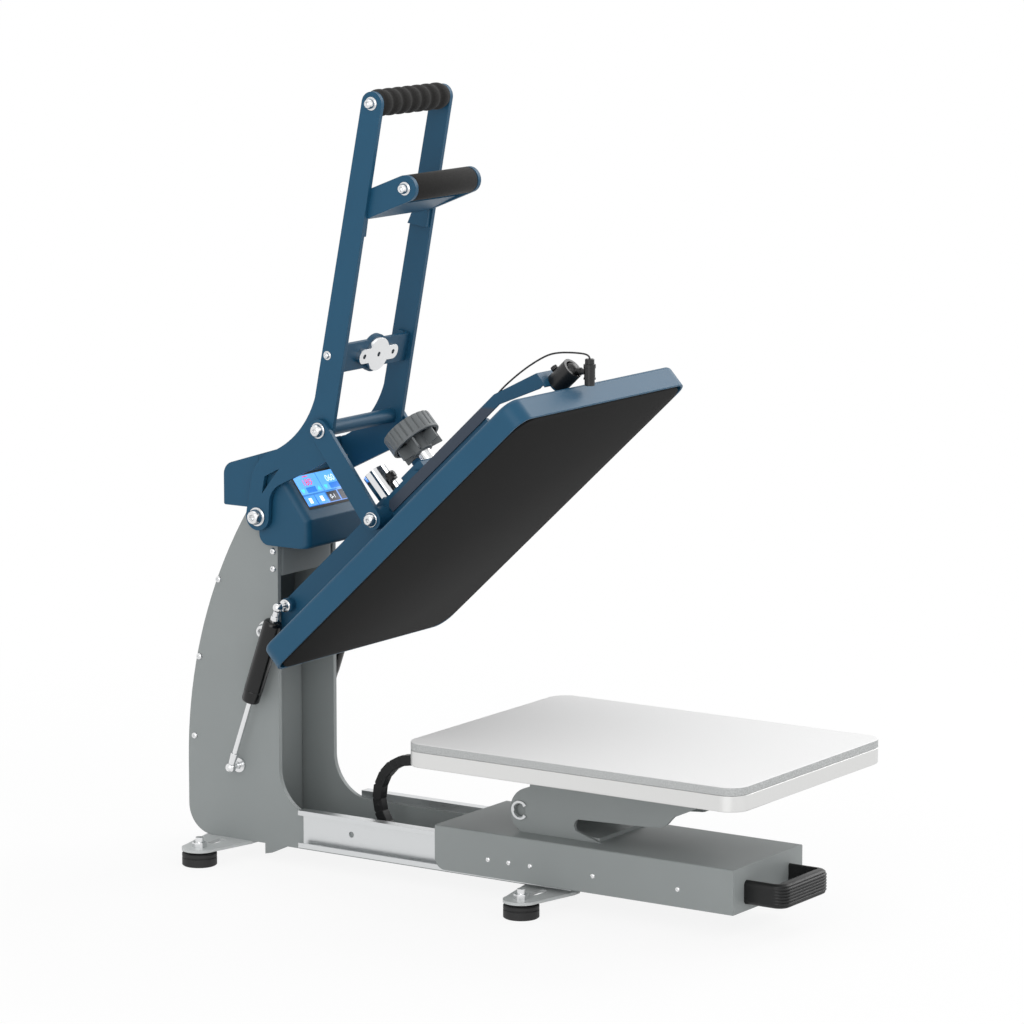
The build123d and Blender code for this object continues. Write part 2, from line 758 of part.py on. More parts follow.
# Control housing: a bent shell with its slanted screen face, and the rear cover behind it
screen_cos = cos(radians(screen_angle))
screen_sin = sin(radians(screen_angle))
lip = (pod_front + 38, pod_top)
face_top = (pod_front + 41, pod_front_height + 41 * screen_sin / screen_cos)
pod_outline = [
    (pod_front, pod_bottom), (pod_front, pod_front_height), face_top, (lip[0], face_top[1] + 3), lip,
    (pod_split, pod_top - (pod_split - lip[0]) * pod_slope), (pod_split, pod_bottom),
]
with BuildPart() as control_housing:
    with BuildSketch(side_view(-pod_out)):
        with BuildLine():
            Polyline(*pod_outline, close=True)
        make_face()
    extrude(amount=pod_width)
    with BuildSketch(side_view(-pod_out + pod_wall)):
        with BuildLine():
            Polyline(*pod_outline, close=True)
        make_face()
        offset(amount=-pod_wall, kind=Kind.INTERSECTION, mode=Mode.REPLACE)
    extrude(amount=pod_width - 2 * pod_wall, mode=Mode.SUBTRACT)
    # open at the back, where the rear cover closes it
    back_low = pod_bottom - 1
    back_high = pod_top - (pod_split - lip[0]) * pod_slope - pod_wall
    with BuildSketch(Plane.XZ.offset(-(pod_split - 2 * pod_wall))):
        with Locations((0, (back_low + back_high) / 2)):
            Rectangle(2 * (plate_out + side_gap), back_high - back_low)
    extrude(amount=-10 * pod_wall, mode=Mode.SUBTRACT)
    # slots for the side plates and the front panel below
    with BuildSketch(Plane.XY.offset(pod_bottom - 1)):
        with Locations((0, (frame_front - side_gap + pod_split) / 2)):
            Rectangle(2 * (plate_out + side_gap), pod_split - frame_front + 2 * side_gap)
    extrude(amount=pod_wall + 2, mode=Mode.SUBTRACT)
    # openings for the pivot shaft
    with BuildSketch(Plane.YZ):
        with Locations(handle_pivot):
            Circle(handle_shaft_diameter / 2 + side_gap)
    extrude(amount=pod_width, both=True, mode=Mode.SUBTRACT)
    # window for the screen
    window = Plane(
        origin=(0, pod_front, pod_front_height), x_dir=(1, 0, 0), z_dir=(0, -screen_sin, screen_cos))
    with BuildSketch(window):
        with Locations(((screen_left + screen_right) / 2, (screen_start + screen_end) / 2)):
            Rectangle(screen_right - screen_left, screen_end - screen_start)
    extrude(amount=-pod_wall - 1, mode=Mode.SUBTRACT)
control_housing.part.label = "control_housing"
export_step(control_housing.part, "parts/control_housing.step")

screen_middle = ((screen_left + screen_right) / 2, (screen_start + screen_end) / 2)
screen_size = (screen_right - screen_left, screen_end - screen_start)
with BuildPart() as screen_bezel:
    with BuildSketch(window.offset(-pod_wall)):
        with Locations(screen_middle):
            Rectangle(screen_size[0] - 2 * seat_gap, screen_size[1] - 2 * seat_gap)
            Rectangle(screen_size[0] - 2 * bezel, screen_size[1] - 2 * bezel, mode=Mode.SUBTRACT)
    extrude(amount=pod_wall - 0.4)
screen_bezel.part.label = "screen_bezel"
export_step(screen_bezel.part, "parts/screen_bezel.step")

with BuildPart() as lcd_screen:
    with BuildSketch(window.offset(-pod_wall)):
        with Locations(screen_middle):
            Rectangle(screen_size[0] - 2 * bezel - 2 * seat_gap, screen_size[1] - 2 * bezel - 2 * seat_gap)
    extrude(amount=pod_wall - 1)
    with BuildSketch(window.offset(-pod_wall)):
        with Locations(screen_middle):
            Rectangle(screen_size[0] + 6, screen_size[1] + 6)
    extrude(amount=-screen_depth)
lcd_screen.part.label = "lcd_screen"
export_step(lcd_screen.part, "parts/lcd_screen.step")

cover_outline = [
    (pod_split + seat_gap, pod_top - (pod_split - lip[0]) * pod_slope),
    (cover_back - 8.5, pod_top - (cover_back - 8.5 - lip[0]) * pod_slope), (cover_back, cover_shoulder),
    (cover_back, cover_bottom), (pod_split + seat_gap, cover_bottom),
]
with BuildPart() as rear_cover:
    with BuildSketch(side_view(-pod_out)) as cover_sketch:
        with BuildLine():
            Polyline(*cover_outline, close=True)
        make_face()
        fillet(cover_sketch.vertices().sort_by(Axis.X)[-2:].sort_by(Axis.Y)[-1:], 6)
    extrude(amount=pod_width)
    with BuildSketch(side_view(-pod_out + pod_wall)):
        with BuildLine():
            Polyline(*cover_outline, close=True)
        make_face()
        offset(amount=-pod_wall, kind=Kind.INTERSECTION, mode=Mode.REPLACE)
    extrude(amount=pod_width - 2 * pod_wall, mode=Mode.SUBTRACT)
    with BuildSketch(Plane.XZ.offset(-(pod_split - 1))):
        with Locations((0, (cover_bottom + cover_shoulder) / 2 + pod_wall / 2)):
            Rectangle(pod_width - 2 * pod_wall, cover_shoulder - cover_bottom - pod_wall)
    extrude(amount=-pod_wall - 2, mode=Mode.SUBTRACT)
    with BuildSketch(Plane.XY.offset(cover_bottom - 1)):
        with Locations((0, (pod_split + plate_end_y) / 2)):
            Rectangle(2 * (plate_out + side_gap), plate_end_y - pod_split)
    extrude(amount=pod_wall + 2, mode=Mode.SUBTRACT)
    with BuildSketch(Plane.XZ.offset(-(cover_back + 1))):
        with Locations((inlet_x, inlet_z)):
            Rectangle(inlet_width + 2 * seat_gap, inlet_height + 2 * seat_gap)
        with Locations((switch_x, inlet_z)):
            Rectangle(switch_width + 2 * side_gap, switch_height + 2 * side_gap)
    extrude(amount=pod_wall + 2, mode=Mode.SUBTRACT)
rear_cover.part.label = "rear_cover"
export_step(rear_cover.part, "parts/rear_cover.step")

# Mains inlet with its three blades in a recess, and a rocker switch beside it
with BuildPart() as power_inlet:
    with BuildSketch(Plane.XZ.offset(-cover_back)):
        with Locations((inlet_x, inlet_z)):
            Rectangle(inlet_width + 6, inlet_height + 6)
    extrude(amount=-2)
    with BuildSketch(Plane.XZ.offset(-(cover_back + 2))):
        with Locations((inlet_x, inlet_z)):
            Rectangle(inlet_width, inlet_height)
    extrude(amount=inlet_depth)
    with BuildSketch(Plane.XZ.offset(-(cover_back + 2))) as inlet_sketch:
        with Locations((inlet_x, inlet_z)):
            Rectangle(inlet_width - 4, inlet_height - 4)
    extrude(amount=inlet_depth - 3, mode=Mode.SUBTRACT)
    with BuildSketch(Plane.XZ.offset(-(cover_back - 2))):
        with Locations((inlet_x - 6, inlet_z - 1), (inlet_x + 6, inlet_z - 1), (inlet_x, inlet_z + 3)):
            Rectangle(2, 4)
    extrude(amount=inlet_depth - 4)
power_inlet.part.label = "power_inlet"
export_step(power_inlet.part, "parts/power_inlet.step")

with BuildPart() as rocker_switch:
    with BuildSketch(Plane.YZ.offset(switch_x - switch_width / 2)):
        with BuildLine():
            Polyline(
                (cover_back - 6, inlet_z - switch_height / 2 + 1), (cover_back + 0.5, inlet_z - switch_height / 2),
                (cover_back + 2, inlet_z), (cover_back + 4, inlet_z + switch_height / 2 - 1),
                (cover_back - 6, inlet_z + switch_height / 2 - 3), close=True,
            )
        make_face()
    extrude(amount=switch_width)
rocker_switch.part.label = "rocker_switch"
export_step(rocker_switch.part, "parts/rocker_switch.step")

# Handle arms
tip_y, tip_z = arm_tip
for side, name in ((-1, "left_handle_arm"), (1, "right_handle_arm")):
    inner_x = handle_in if side > 0 else -handle_out
    with BuildPart() as handle_arm:
        with BuildSketch(side_view(inner_x)) as arm_sketch:
            with BuildLine():
                tip = ThreePointArc(
                    (tip_y - arm_tip_radius, tip_z - 2), (tip_y, tip_z + arm_tip_radius),
                    (tip_y + arm_tip_radius, tip_z + 1))
                back = Line(tip @ 1, arm_back_low)
                elbow = ThreePointArc(back @ 1, (204, 449), (231.6, 427.9))
                shoulder = ThreePointArc(elbow @ 1, (253, 415.5), (264, 394))
                rear = Line(shoulder @ 1, (handle_pivot[0] + 13.9, handle_pivot[1] + 2.5))
                lobe = ThreePointArc(
                    rear @ 1, (handle_pivot[0], handle_pivot[1] - handle_lobe),
                    (handle_pivot[0] - 13.9, handle_pivot[1] - 2.5))
                inner = Line(lobe @ 1, (241.4, 374))
                hollow = ThreePointArc(inner @ 1, (237, 385), (227.1, 392.8))
                lower = Line(hollow @ 1, arm_front_corner)
                Line(lower @ 1, tip @ 0)
            make_face()
            fillet(arm_sketch.vertices().sort_by_distance(arm_front_corner)[0], 8)
            with BuildLine():
                Polyline((246.9, 399.2), (228.8, 408.4), (250.2, 381.6), close=True)
            make_face(mode=Mode.SUBTRACT)
            with Locations(handle_pivot):
                Circle(handle_shaft_diameter / 2, mode=Mode.SUBTRACT)
            with Locations(crank_pin):
                Circle(link_bolt_diameter / 2 + running_gap, mode=Mode.SUBTRACT)
            with Locations(arm_tip, lower_grip_axis):
                Circle(grip_rod_diameter / 2 + running_gap, mode=Mode.SUBTRACT)
        extrude(amount=handle_plate)
    handle_arm.part.label = name
    export_step(handle_arm.part, f"parts/{name}.step")

with BuildPart() as cross_tube:
    turned([
        (-handle_in, link_bolt_diameter / 2 + running_gap), (-handle_in, cross_tube_diameter / 2),
        (handle_in, cross_tube_diameter / 2), (handle_in, link_bolt_diameter / 2 + running_gap),
    ], *crank_pin)
cross_tube.part.label = "cross_tube"
export_step(cross_tube.part, "parts/cross_tube.step")

# Armature: where the handle's plate meets the magnet, turned back by the handle's swing
swing = radians(handle_swing)
closed_y = head_pivot[0] - magnet_u - handle_pivot[0]
closed_z = head_pivot[1] + magnet_top + armature_gap - handle_pivot[1]
armature_y = handle_pivot[0] + closed_y * cos(swing) + closed_z * sin(swing)
armature_z = handle_pivot[1] - closed_y * sin(swing) + closed_z * cos(swing)
armature_face = Plane(
    origin=(0, armature_y, armature_z), x_dir=(1, 0, 0), z_dir=(0, -sin(swing), -cos(swing)))
with BuildPart() as armature:
    with BuildSketch(armature_face):
        Circle(armature_diameter / 2)
        SlotOverall(armature_length, armature_ear)
        with Locations((0, 0), (-armature_screw_x, 0), (armature_screw_x, 0)):
            Circle(armature_hole / 2, mode=Mode.SUBTRACT)
    extrude(amount=-armature_thickness)
armature.part.label = "armature"
export_step(armature.part, "parts/armature.step")

with BuildPart() as cross_plate:
    with BuildSketch(armature_face.offset(-armature_thickness)):
        Rectangle(2 * handle_in, cross_plate_height)
        Circle(cross_plate_height / 2 + 5)
        with Locations((0, 0), (-armature_screw_x, 0), (armature_screw_x, 0)):
            Circle(armature_hole / 2, mode=Mode.SUBTRACT)
    extrude(amount=-cross_plate_thickness)
    with BuildSketch(armature_face.offset(-armature_thickness)):
        with Locations(*[(side * (handle_in - sheet / 2), 0) for side in (-1, 1)]):
            Rectangle(sheet, cross_plate_height)
    extrude(amount=-cross_flange)
cross_plate.part.label = "cross_plate"
export_step(cross_plate.part, "parts/cross_plate.step")

# Grips: ribbed foam at the arm tips, smooth foam on the second handle
rib_count = 7
with BuildPart() as top_grip:
    with BuildSketch(Plane(origin=(0, tip_y, tip_z), x_dir=(1, 0, 0), z_dir=(0, -1, 0))):
        with BuildLine():
            half = handle_in
            inner_r = grip_rod_diameter / 2 + running_gap
            rib = 2 * half / rib_count
            Polyline((-half, top_grip_diameter / 2 - 1.6), (-half, inner_r), (half, inner_r),
                     (half, top_grip_diameter / 2 - 1.6))
            for k in range(rib_count):
                left = -half + k * rib
                ThreePointArc(
                    (left, top_grip_diameter / 2 - 1.6), (left + rib / 2, top_grip_diameter / 2),
                    (left + rib, top_grip_diameter / 2 - 1.6))
        make_face()
    revolve(axis=Axis((0, tip_y, tip_z), (1, 0, 0)))
top_grip.part.label = "top_grip"
export_step(top_grip.part, "parts/top_grip.step")

flange_in = handle_in - grip_flange
with BuildPart() as lower_grip:
    turned([
        (-flange_in, grip_rod_diameter / 2 + running_gap), (-flange_in, lower_grip_diameter / 2 - 1.5),
        (-flange_in + 1.5, lower_grip_diameter / 2), (flange_in - 1.5, lower_grip_diameter / 2),
        (flange_in, lower_grip_diameter / 2 - 1.5), (flange_in, grip_rod_diameter / 2 + running_gap),
    ], *lower_grip_axis)
lower_grip.part.label = "lower_grip"
export_step(lower_grip.part, "parts/lower_grip.step")

lobe_y, lobe_z = lower_grip_axis
with BuildPart() as grip_bracket:
    for x in (-handle_in, flange_in):
        with BuildSketch(side_view(x)):
            with BuildLine():
                Polyline(
                    (lobe_y + 5, lobe_z + 12), (132, 690), (150.5, 650), (127.5, 647), (124.8, 664.4),
                    (lobe_y - 5, lobe_z - 12), close=True,
                )
            make_face()
            with Locations(lower_grip_axis):
                Circle(grip_lobe_radius)
                Circle(grip_rod_diameter / 2 + running_gap, mode=Mode.SUBTRACT)
        extrude(amount=grip_flange)
    with BuildSketch(side_view(-flange_in)):
        with BuildLine():
            Polyline((lobe_y + 12, 680.9), (124.8, 664.4), (125.8, 667.2), (lobe_y + 13, 683.7), close=True)
        make_face()
    extrude(amount=2 * flange_in)
grip_bracket.part.label = "grip_bracket"
export_step(grip_bracket.part, "parts/grip_bracket.step")

# Rods through the grips and bolts at the crank pins, with washers and domed heads
with BuildPart() as handle_bolts:
    radius = grip_rod_diameter / 2
    for centre, reach, head_r in ((arm_tip, handle_out, 5.2), (lower_grip_axis, handle_in, 5.2)):
        turned([(-reach, 0), (-reach, radius), (reach, radius), (reach, 0)], *centre)
        turned_pair(bolt_head(reach, head_r, 6), *centre)
    shank = link_bolt_diameter / 2
    end = link_out + side_gap
    turned_pair([(handle_in - 12, 0), (handle_in - 12, shank), (end, shank), (end, 0)], *crank_pin)
    turned_pair(bolt_head(end, link_head_radius, link_head_height), *crank_pin)
handle_bolts.part.label = "handle_bolts"
export_step(handle_bolts.part, "parts/handle_bolts.step")

# Links from the crank pins to the head arm, outside the handle arms
link_length = hypot(link_pin[0] - crank_pin[0], link_pin[1] - crank_pin[1])
link_lean = degrees(atan2(link_pin[1] - crank_pin[1], link_pin[0] - crank_pin[0]))
with BuildPart() as links:
    for inner_x in (-link_out, link_in):
        with BuildSketch(side_view(inner_x)):
            with Locations(((link_pin[0] + crank_pin[0]) / 2, (link_pin[1] + crank_pin[1]) / 2)):
                SlotCenterToCenter(link_length, link_width, rotation=link_lean)
            with Locations(crank_pin):
                Circle(link_bolt_diameter / 2 + running_gap, mode=Mode.SUBTRACT)
            with Locations(link_pin):
                Circle(link_bolt_diameter / 2, mode=Mode.SUBTRACT)
        extrude(amount=link_plate)
links.part.label = "links"
export_step(links.part, "parts/links.step")

with BuildPart() as link_pins:
    inner_end = arm_out + link_seat + side_gap
    shank = link_bolt_diameter / 2
    turned_pair([
        (inner_end, 0), (inner_end, link_width / 2), (link_in, link_width / 2), (link_in, shank),
        (link_out, shank), (link_out, 0),
    ], *link_pin)
    turned_pair(bolt_head(link_out, link_pin_head, link_head_height), *link_pin)
link_pins.part.label = "link_pins"
export_step(link_pins.part, "parts/link_pins.step")

# Head arm: two plates, a base plate between them and the threaded block of the pressure screw
with BuildPart() as head_arm_plates:
    for x in (arm_out, -arm_in):
        with BuildSketch(head_side(x)):
            with BuildLine():
                Polyline(
                    (0, 20), (37, arm_top), (252, arm_top), (258, arm_top - 6), (arm_length - 10, arm_top - 6),
                    (arm_length, arm_top - 16), (arm_length, arm_bottom), (30, arm_bottom), (0, -20), close=True,
                )
            make_face()
            Circle(20)
            Circle(head_shaft_diameter / 2, mode=Mode.SUBTRACT)
        extrude(amount=arm_plate)
    for x, side in ((arm_out, -1), (-arm_out, 1)):
        with BuildSketch(head_side(x)):
            with Locations((upper_ball_u, upper_ball_v)):
                Circle(boss_diameter / 2)
        extrude(amount=side * boss_length)
        with BuildSketch(head_side(x)):
            with Locations((link_pin_u, link_pin_v)):
                Circle(link_width / 2)
        extrude(amount=side * link_seat)
head_arm_plates.part.label = "head_arm_plates"
export_step(head_arm_plates.part, "parts/head_arm_plates.step")

guide_places = [(x, -u) for x in (-guide_x, guide_x) for u in (screw_u - guide_u, screw_u + guide_u)]
with BuildPart() as arm_base_plate:
    with BuildSketch(head_side(arm_in)):
        with Locations(((70 + arm_length - 12) / 2, arm_bottom + arm_base_thickness / 2)):
            Rectangle(arm_length - 12 - 70, arm_base_thickness)
    extrude(amount=2 * arm_in)
    with BuildSketch(head_face(0, 0, arm_bottom)):
        with Locations((0, -screw_u)):
            Circle(socket_ring / 2 + side_gap)
        with Locations(*guide_places):
            Circle(guide_diameter / 2 + side_gap)
    extrude(amount=arm_base_thickness, mode=Mode.SUBTRACT)
arm_base_plate.part.label = "arm_base_plate"
export_step(arm_base_plate.part, "parts/arm_base_plate.step")

with BuildPart() as screw_block:
    with BuildSketch(head_side(arm_in)):
        with Locations((screw_u, (block_bottom + block_top) / 2)):
            Rectangle(block_length, block_top - block_bottom)
    extrude(amount=2 * arm_in)
    with BuildSketch(head_face(0, screw_u, block_bottom)):
        Circle(screw_diameter / 2 + running_gap)
    extrude(amount=block_top - block_bottom, mode=Mode.SUBTRACT)
    chamfer(screw_block.edges().filter_by(Axis.X).group_by(Axis.Z)[-1], 2)
screw_block.part.label = "screw_block"
export_step(screw_block.part, "parts/screw_block.step")

# Electromagnet on a bent stand between the arm plates
with BuildPart() as magnet_stand:
    with BuildSketch(head_end(0, magnet_u - stand_length / 2, 0)):
        with Locations((0, magnet_bottom - stand_sheet / 2)):
            Rectangle(2 * arm_in, stand_sheet)
        low = arm_bottom + arm_base_thickness
        for side in (-1, 1):
            with Locations((side * (arm_in - stand_sheet / 2), (low + magnet_bottom) / 2)):
                Rectangle(stand_sheet, magnet_bottom - low)
    extrude(amount=stand_length)
magnet_stand.part.label = "magnet_stand"
export_step(magnet_stand.part, "parts/magnet_stand.step")

with BuildPart() as electromagnet:
    with BuildSketch(head_face(0, magnet_u, magnet_bottom)):
        Circle(magnet_diameter / 2)
    extrude(amount=magnet_top - magnet_bottom)
    with BuildSketch(head_face(0, magnet_u, magnet_top)):
        Circle(magnet_diameter / 2 - 4)
        Circle(magnet_diameter / 2 - 6, mode=Mode.SUBTRACT)
    extrude(amount=-1, mode=Mode.SUBTRACT)
electromagnet.part.label = "electromagnet"
export_step(electromagnet.part, "parts/electromagnet.step")

with BuildPart() as magnet_plug:
    with BuildSketch(head_end(0, magnet_u + magnet_diameter / 2 - 0.5, magnet_bottom + 22)):
        Rectangle(12, 12)
        Rectangle(6, 14, mode=Mode.ADD)
    extrude(amount=9)
    with BuildSketch(head_face(0, magnet_u, magnet_bottom)):
        Circle(magnet_diameter / 2 + running_gap)
    extrude(amount=magnet_top - magnet_bottom, mode=Mode.SUBTRACT)
magnet_plug.part.label = "magnet_plug"
export_step(magnet_plug.part, "parts/magnet_plug.step")

# Laser sight: bracket on the left arm plate, clamp socket, ball and barrel
with BuildPart() as laser_bracket:
    with BuildSketch(head_side(bracket_side_x)):
        with BuildLine():
            Polyline(
                (205.5, -6), (205.5, 1), (210, 5), (380, 5), (socket_base_u, -10.6), (socket_base_u, -24), (425, -24),
                (378, -6), close=True,
            )
        make_face()
    extrude(amount=bracket_sheet)
    with BuildSketch(head_end(0, socket_base_u - bracket_sheet, 0)):
        left = bracket_side_x - bracket_sheet
        with Locations(((left - 6) / 2, (socket_v - 10.6) / 2)):
            Rectangle(-6 - left, -10.6 - socket_v)
        with Locations((laser_x, socket_v)):
            Circle(socket_diameter / 2 - 1)
    extrude(amount=bracket_sheet)
laser_bracket.part.label = "laser_bracket"
export_step(laser_bracket.part, "parts/laser_bracket.step")

ball_u = socket_base_u + socket_length - 4
with BuildPart() as laser_socket:
    with BuildSketch(head_end(laser_x, socket_base_u, socket_v)):
        Circle(socket_diameter / 2)
    extrude(amount=socket_length)
    with BuildSketch(head_end(laser_x, socket_base_u + socket_floor, socket_v)):
        Circle(socket_diameter / 2 - socket_wall)
    extrude(amount=socket_length, mode=Mode.SUBTRACT)
    with BuildSketch(head_face(laser_x, socket_base_u + socket_length - 5, socket_v - socket_diameter)):
        Rectangle(3, 12)
    extrude(amount=socket_diameter, mode=Mode.SUBTRACT)
    with BuildSketch(head_face(laser_x, clamp_u, socket_v)):
        Circle(clamp_thread / 2 + running_gap)
    extrude(amount=socket_diameter, mode=Mode.SUBTRACT)
laser_socket.part.label = "laser_socket"
export_step(laser_socket.part, "parts/laser_socket.step")

ball_place = head_point(laser_x, ball_u, socket_v)
barrel_low = (ball_place[0], ball_place[1] - 22, ball_place[2] - 13)
with BuildPart() as laser_barrel:
    with BuildSketch(Plane(origin=barrel_low, x_dir=(1, 0, 0), z_dir=(0, 0, 1))):
        Circle(laser_diameter / 2)
    extrude(amount=laser_length)
    with BuildSketch(Plane(
            origin=(ball_place[0], ball_place[1] - 18, ball_place[2]), x_dir=(1, 0, 0), z_dir=(0, 1, 0))):
        Circle(3)
    extrude(amount=18 - laser_ball_diameter / 2 + 0.5)
    with Locations(ball_place):
        Sphere(laser_ball_diameter / 2)
laser_barrel.part.label = "laser_barrel"
export_step(laser_barrel.part, "parts/laser_barrel.step")

# Clamp screw of the laser socket
with BuildPart() as clamp_screw:
    with BuildSketch(head_face(laser_x, clamp_u, socket_v + socket_diameter / 2 - socket_wall)):
        Circle(clamp_thread / 2)
    extrude(amount=socket_wall + 4)
    with BuildSketch(head_face(laser_x, clamp_u, socket_v + socket_diameter / 2 + 4)):
        Circle(clamp_diameter / 2)
    extrude(amount=6)
clamp_screw.part.label = "clamp_screw"
export_step(clamp_screw.part, "parts/clamp_screw.step")

# Laser lead: a thin cable from the barrel's top, over the platen's edge and into the arm
barrel_top = (barrel_low[0], barrel_low[1], barrel_low[2] + laser_length)
lead_turn = (barrel_top[0], barrel_top[1], barrel_top[2] + lead_rise)
lead_points = [barrel_top, lead_turn] + [head_point(x, u, v) for x, u, v in lead_route]
lead_radii = []
for before, corner, after in zip(lead_points, lead_points[1:], lead_points[2:]):
    run_in = Vector(*corner) - Vector(*before)
    run_out = Vector(*after) - Vector(*corner)
    half_turn = radians(run_in.get_angle(run_out)) / 2
    lead_radii.append(0.45 * min(run_in.length, run_out.length) / tan(half_turn))
with BuildPart() as laser_lead:
    with BuildLine() as lead_path:
        FilletPolyline(*lead_points, radius=lead_radii)
    with BuildSketch(Plane(origin=lead_points[0], z_dir=Vector(*lead_points[1]) - Vector(*lead_points[0]))):
        Circle(lead_diameter / 2)
    sweep()
laser_lead.part.label = "laser_lead"
export_step(laser_lead.part, "parts/laser_lead.step")

# Upper platen: blue pan, heating plate in its mouth, screw socket and guide posts on its cover
housing_u = housing_rear + housing_depth / 2
rim_v = housing_bottom + 1
cover_top = housing_top - cover_drop
heater_width = housing_width - 2 * (housing_wall + seat_gap)
heater_depth = housing_depth - 2 * (housing_wall + seat_gap)
wall_width = housing_width - 2 * housing_wall
wall_depth = housing_depth - 2 * housing_wall
with BuildPart() as upper_housing:
    with BuildSketch(head_face(0, housing_u, rim_v)) as pan_sketch:
        Rectangle(housing_width, housing_depth)
        fillet(pan_sketch.vertices().group_by(Axis.Y)[0], housing_corner)
        fillet(pan_sketch.vertices().group_by(Axis.Y)[-1], housing_rear_corner)
    extrude(amount=housing_top - rim_v)
    with BuildSketch(head_face(0, housing_u, rim_v)):
        RectangleRounded(wall_width, wall_depth, housing_corner - housing_wall)
    extrude(amount=cover_top - cover_sheet - rim_v, mode=Mode.SUBTRACT)
    with BuildSketch(head_face(0, housing_u, cover_top)):
        RectangleRounded(wall_width, wall_depth, housing_corner - housing_wall)
    extrude(amount=cover_drop, mode=Mode.SUBTRACT)
upper_housing.part.label = "upper_housing"
export_step(upper_housing.part, "parts/upper_housing.step")

with BuildPart() as heating_plate:
    with BuildSketch(head_face(0, housing_u, housing_bottom)):
        RectangleRounded(heater_width, heater_depth, heater_corner)
    extrude(amount=heater_thickness)
heating_plate.part.label = "heating_plate"
export_step(heating_plate.part, "parts/heating_plate.step")

with BuildPart() as platen_guides:
    with BuildSketch(head_face(0, screw_u, cover_top)):
        Circle(socket_ring / 2)
        Circle(screw_diameter / 2 + running_gap, mode=Mode.SUBTRACT)
    extrude(amount=socket_height)
    with BuildSketch(head_face(0, 0, cover_top)):
        with Locations(*guide_places):
            Circle(guide_diameter / 2)
    extrude(amount=post_top - cover_top)
    with BuildSketch(head_face(0, 0, arm_bottom + arm_base_thickness + side_gap)):
        with Locations(*guide_places):
            Circle(post_nut / 2)
    extrude(amount=post_nut_height)
platen_guides.part.label = "platen_guides"
export_step(platen_guides.part, "parts/platen_guides.step")

# Pressure screw and its knob: ribbed rim, spokes and hub
with BuildPart() as pressure_screw:
    with BuildSketch(head_face(0, screw_u, cover_top + side_gap)):
        Circle(screw_diameter / 2)
    extrude(amount=hub_bottom - cover_top - side_gap)
pressure_screw.part.label = "pressure_screw"
export_step(pressure_screw.part, "parts/pressure_screw.step")

with BuildPart() as pressure_knob:
    with BuildSketch(head_face(0, screw_u, hub_bottom)):
        Circle(hub_diameter / 2)
    extrude(amount=knob_top - hub_bottom)
    with BuildSketch(head_face(0, screw_u, knob_bottom)):
        Circle(knob_diameter / 2 - knob_rib / 2)
        Circle(knob_diameter / 2 - knob_rib / 2 - knob_wall, mode=Mode.SUBTRACT)
        with PolarLocations(knob_diameter / 2 - knob_rib / 2, knob_ribs):
            Circle(knob_rib / 2)
    extrude(amount=knob_top - knob_bottom)
    with BuildSketch(head_face(0, screw_u, knob_top - knob_wall)):
        Circle(knob_diameter / 2 - knob_rib / 2 - 1)
    extrude(amount=knob_wall)
    with BuildSketch(head_face(0, screw_u, knob_bottom + 3)):
        with PolarLocations((hub_diameter + knob_diameter) / 4 - 2, knob_spokes):
            Rectangle((knob_diameter - hub_diameter) / 2 - 2, 4)
    extrude(amount=knob_top - knob_bottom - 3)
pressure_knob.part.label = "pressure_knob"
export_step(pressure_knob.part, "parts/pressure_knob.step")

# Gas springs: rods with ball sockets below, cylinders with their studs above
spring_dir = (0, upper_ball[0] - lower_ball[0], upper_ball[1] - lower_ball[1])
spring_length = hypot(spring_dir[1], spring_dir[2])
spring_base = Plane(origin=(spring_x, *lower_ball), x_dir=(1, 0, 0), z_dir=spring_dir)
with BuildPart() as right_rod:
    with BuildSketch(spring_base.offset(-socket_width / 2)):
        Circle(socket_width / 2)
    extrude(amount=socket_width + 1)
    with BuildSketch(spring_base.offset(socket_width / 2)):
        RegularPolygon(rod_diameter / 2 + 1, 6, major_radius=False)
    extrude(amount=6)
    with BuildSketch(spring_base.offset(socket_width / 2)):
        Circle(rod_diameter / 2)
    extrude(amount=rod_end - socket_width / 2)
    with Locations((spring_x, *lower_ball)):
        Sphere(ball_diameter / 2 + side_gap, mode=Mode.SUBTRACT)
    with BuildSketch(Plane.YZ):
        with Locations(lower_ball):
            Circle(stud_neck / 2 + 1.5)
    extrude(amount=spring_x, mode=Mode.SUBTRACT)
with BuildPart() as spring_rods:
    add(right_rod.part)
    mirror(about=Plane.YZ)
spring_rods.part.label = "spring_rods"
export_step(spring_rods.part, "parts/spring_rods.step")

with BuildPart() as spring_cylinders:
    with BuildSketch(spring_base.offset(cylinder_start)):
        Circle(spring_diameter / 2)
    extrude(amount=cylinder_end - cylinder_start)
    with BuildSketch(spring_base.offset(cylinder_start)):
        Circle(rod_diameter / 2 + running_gap)
    extrude(amount=cylinder_end - cylinder_start - 5, mode=Mode.SUBTRACT)
    with BuildSketch(spring_base.offset(cylinder_end)):
        Circle(rod_diameter / 2)
    extrude(amount=spring_length - cylinder_end)
    with BuildSketch(spring_base.offset(spring_length - socket_width / 2)):
        Circle(socket_width / 2)
    extrude(amount=socket_width)
    mirror(about=Plane.YZ)
    stud_end = arm_out + boss_length + side_gap
    turned_pair([
        (stud_end, 0), (stud_end, stud_flange / 2 - 0.5), (stud_end + 3, stud_flange / 2 - 0.5),
        (stud_end + 3, stud_neck / 2), (spring_x, stud_neck / 2), (spring_x, 0),
    ], *upper_ball)
spring_cylinders.part.label = "spring_cylinders"
export_step(spring_cylinders.part, "parts/spring_cylinders.step")
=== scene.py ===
import bpy
import bmesh
import math
from mathutils import Matrix, Vector

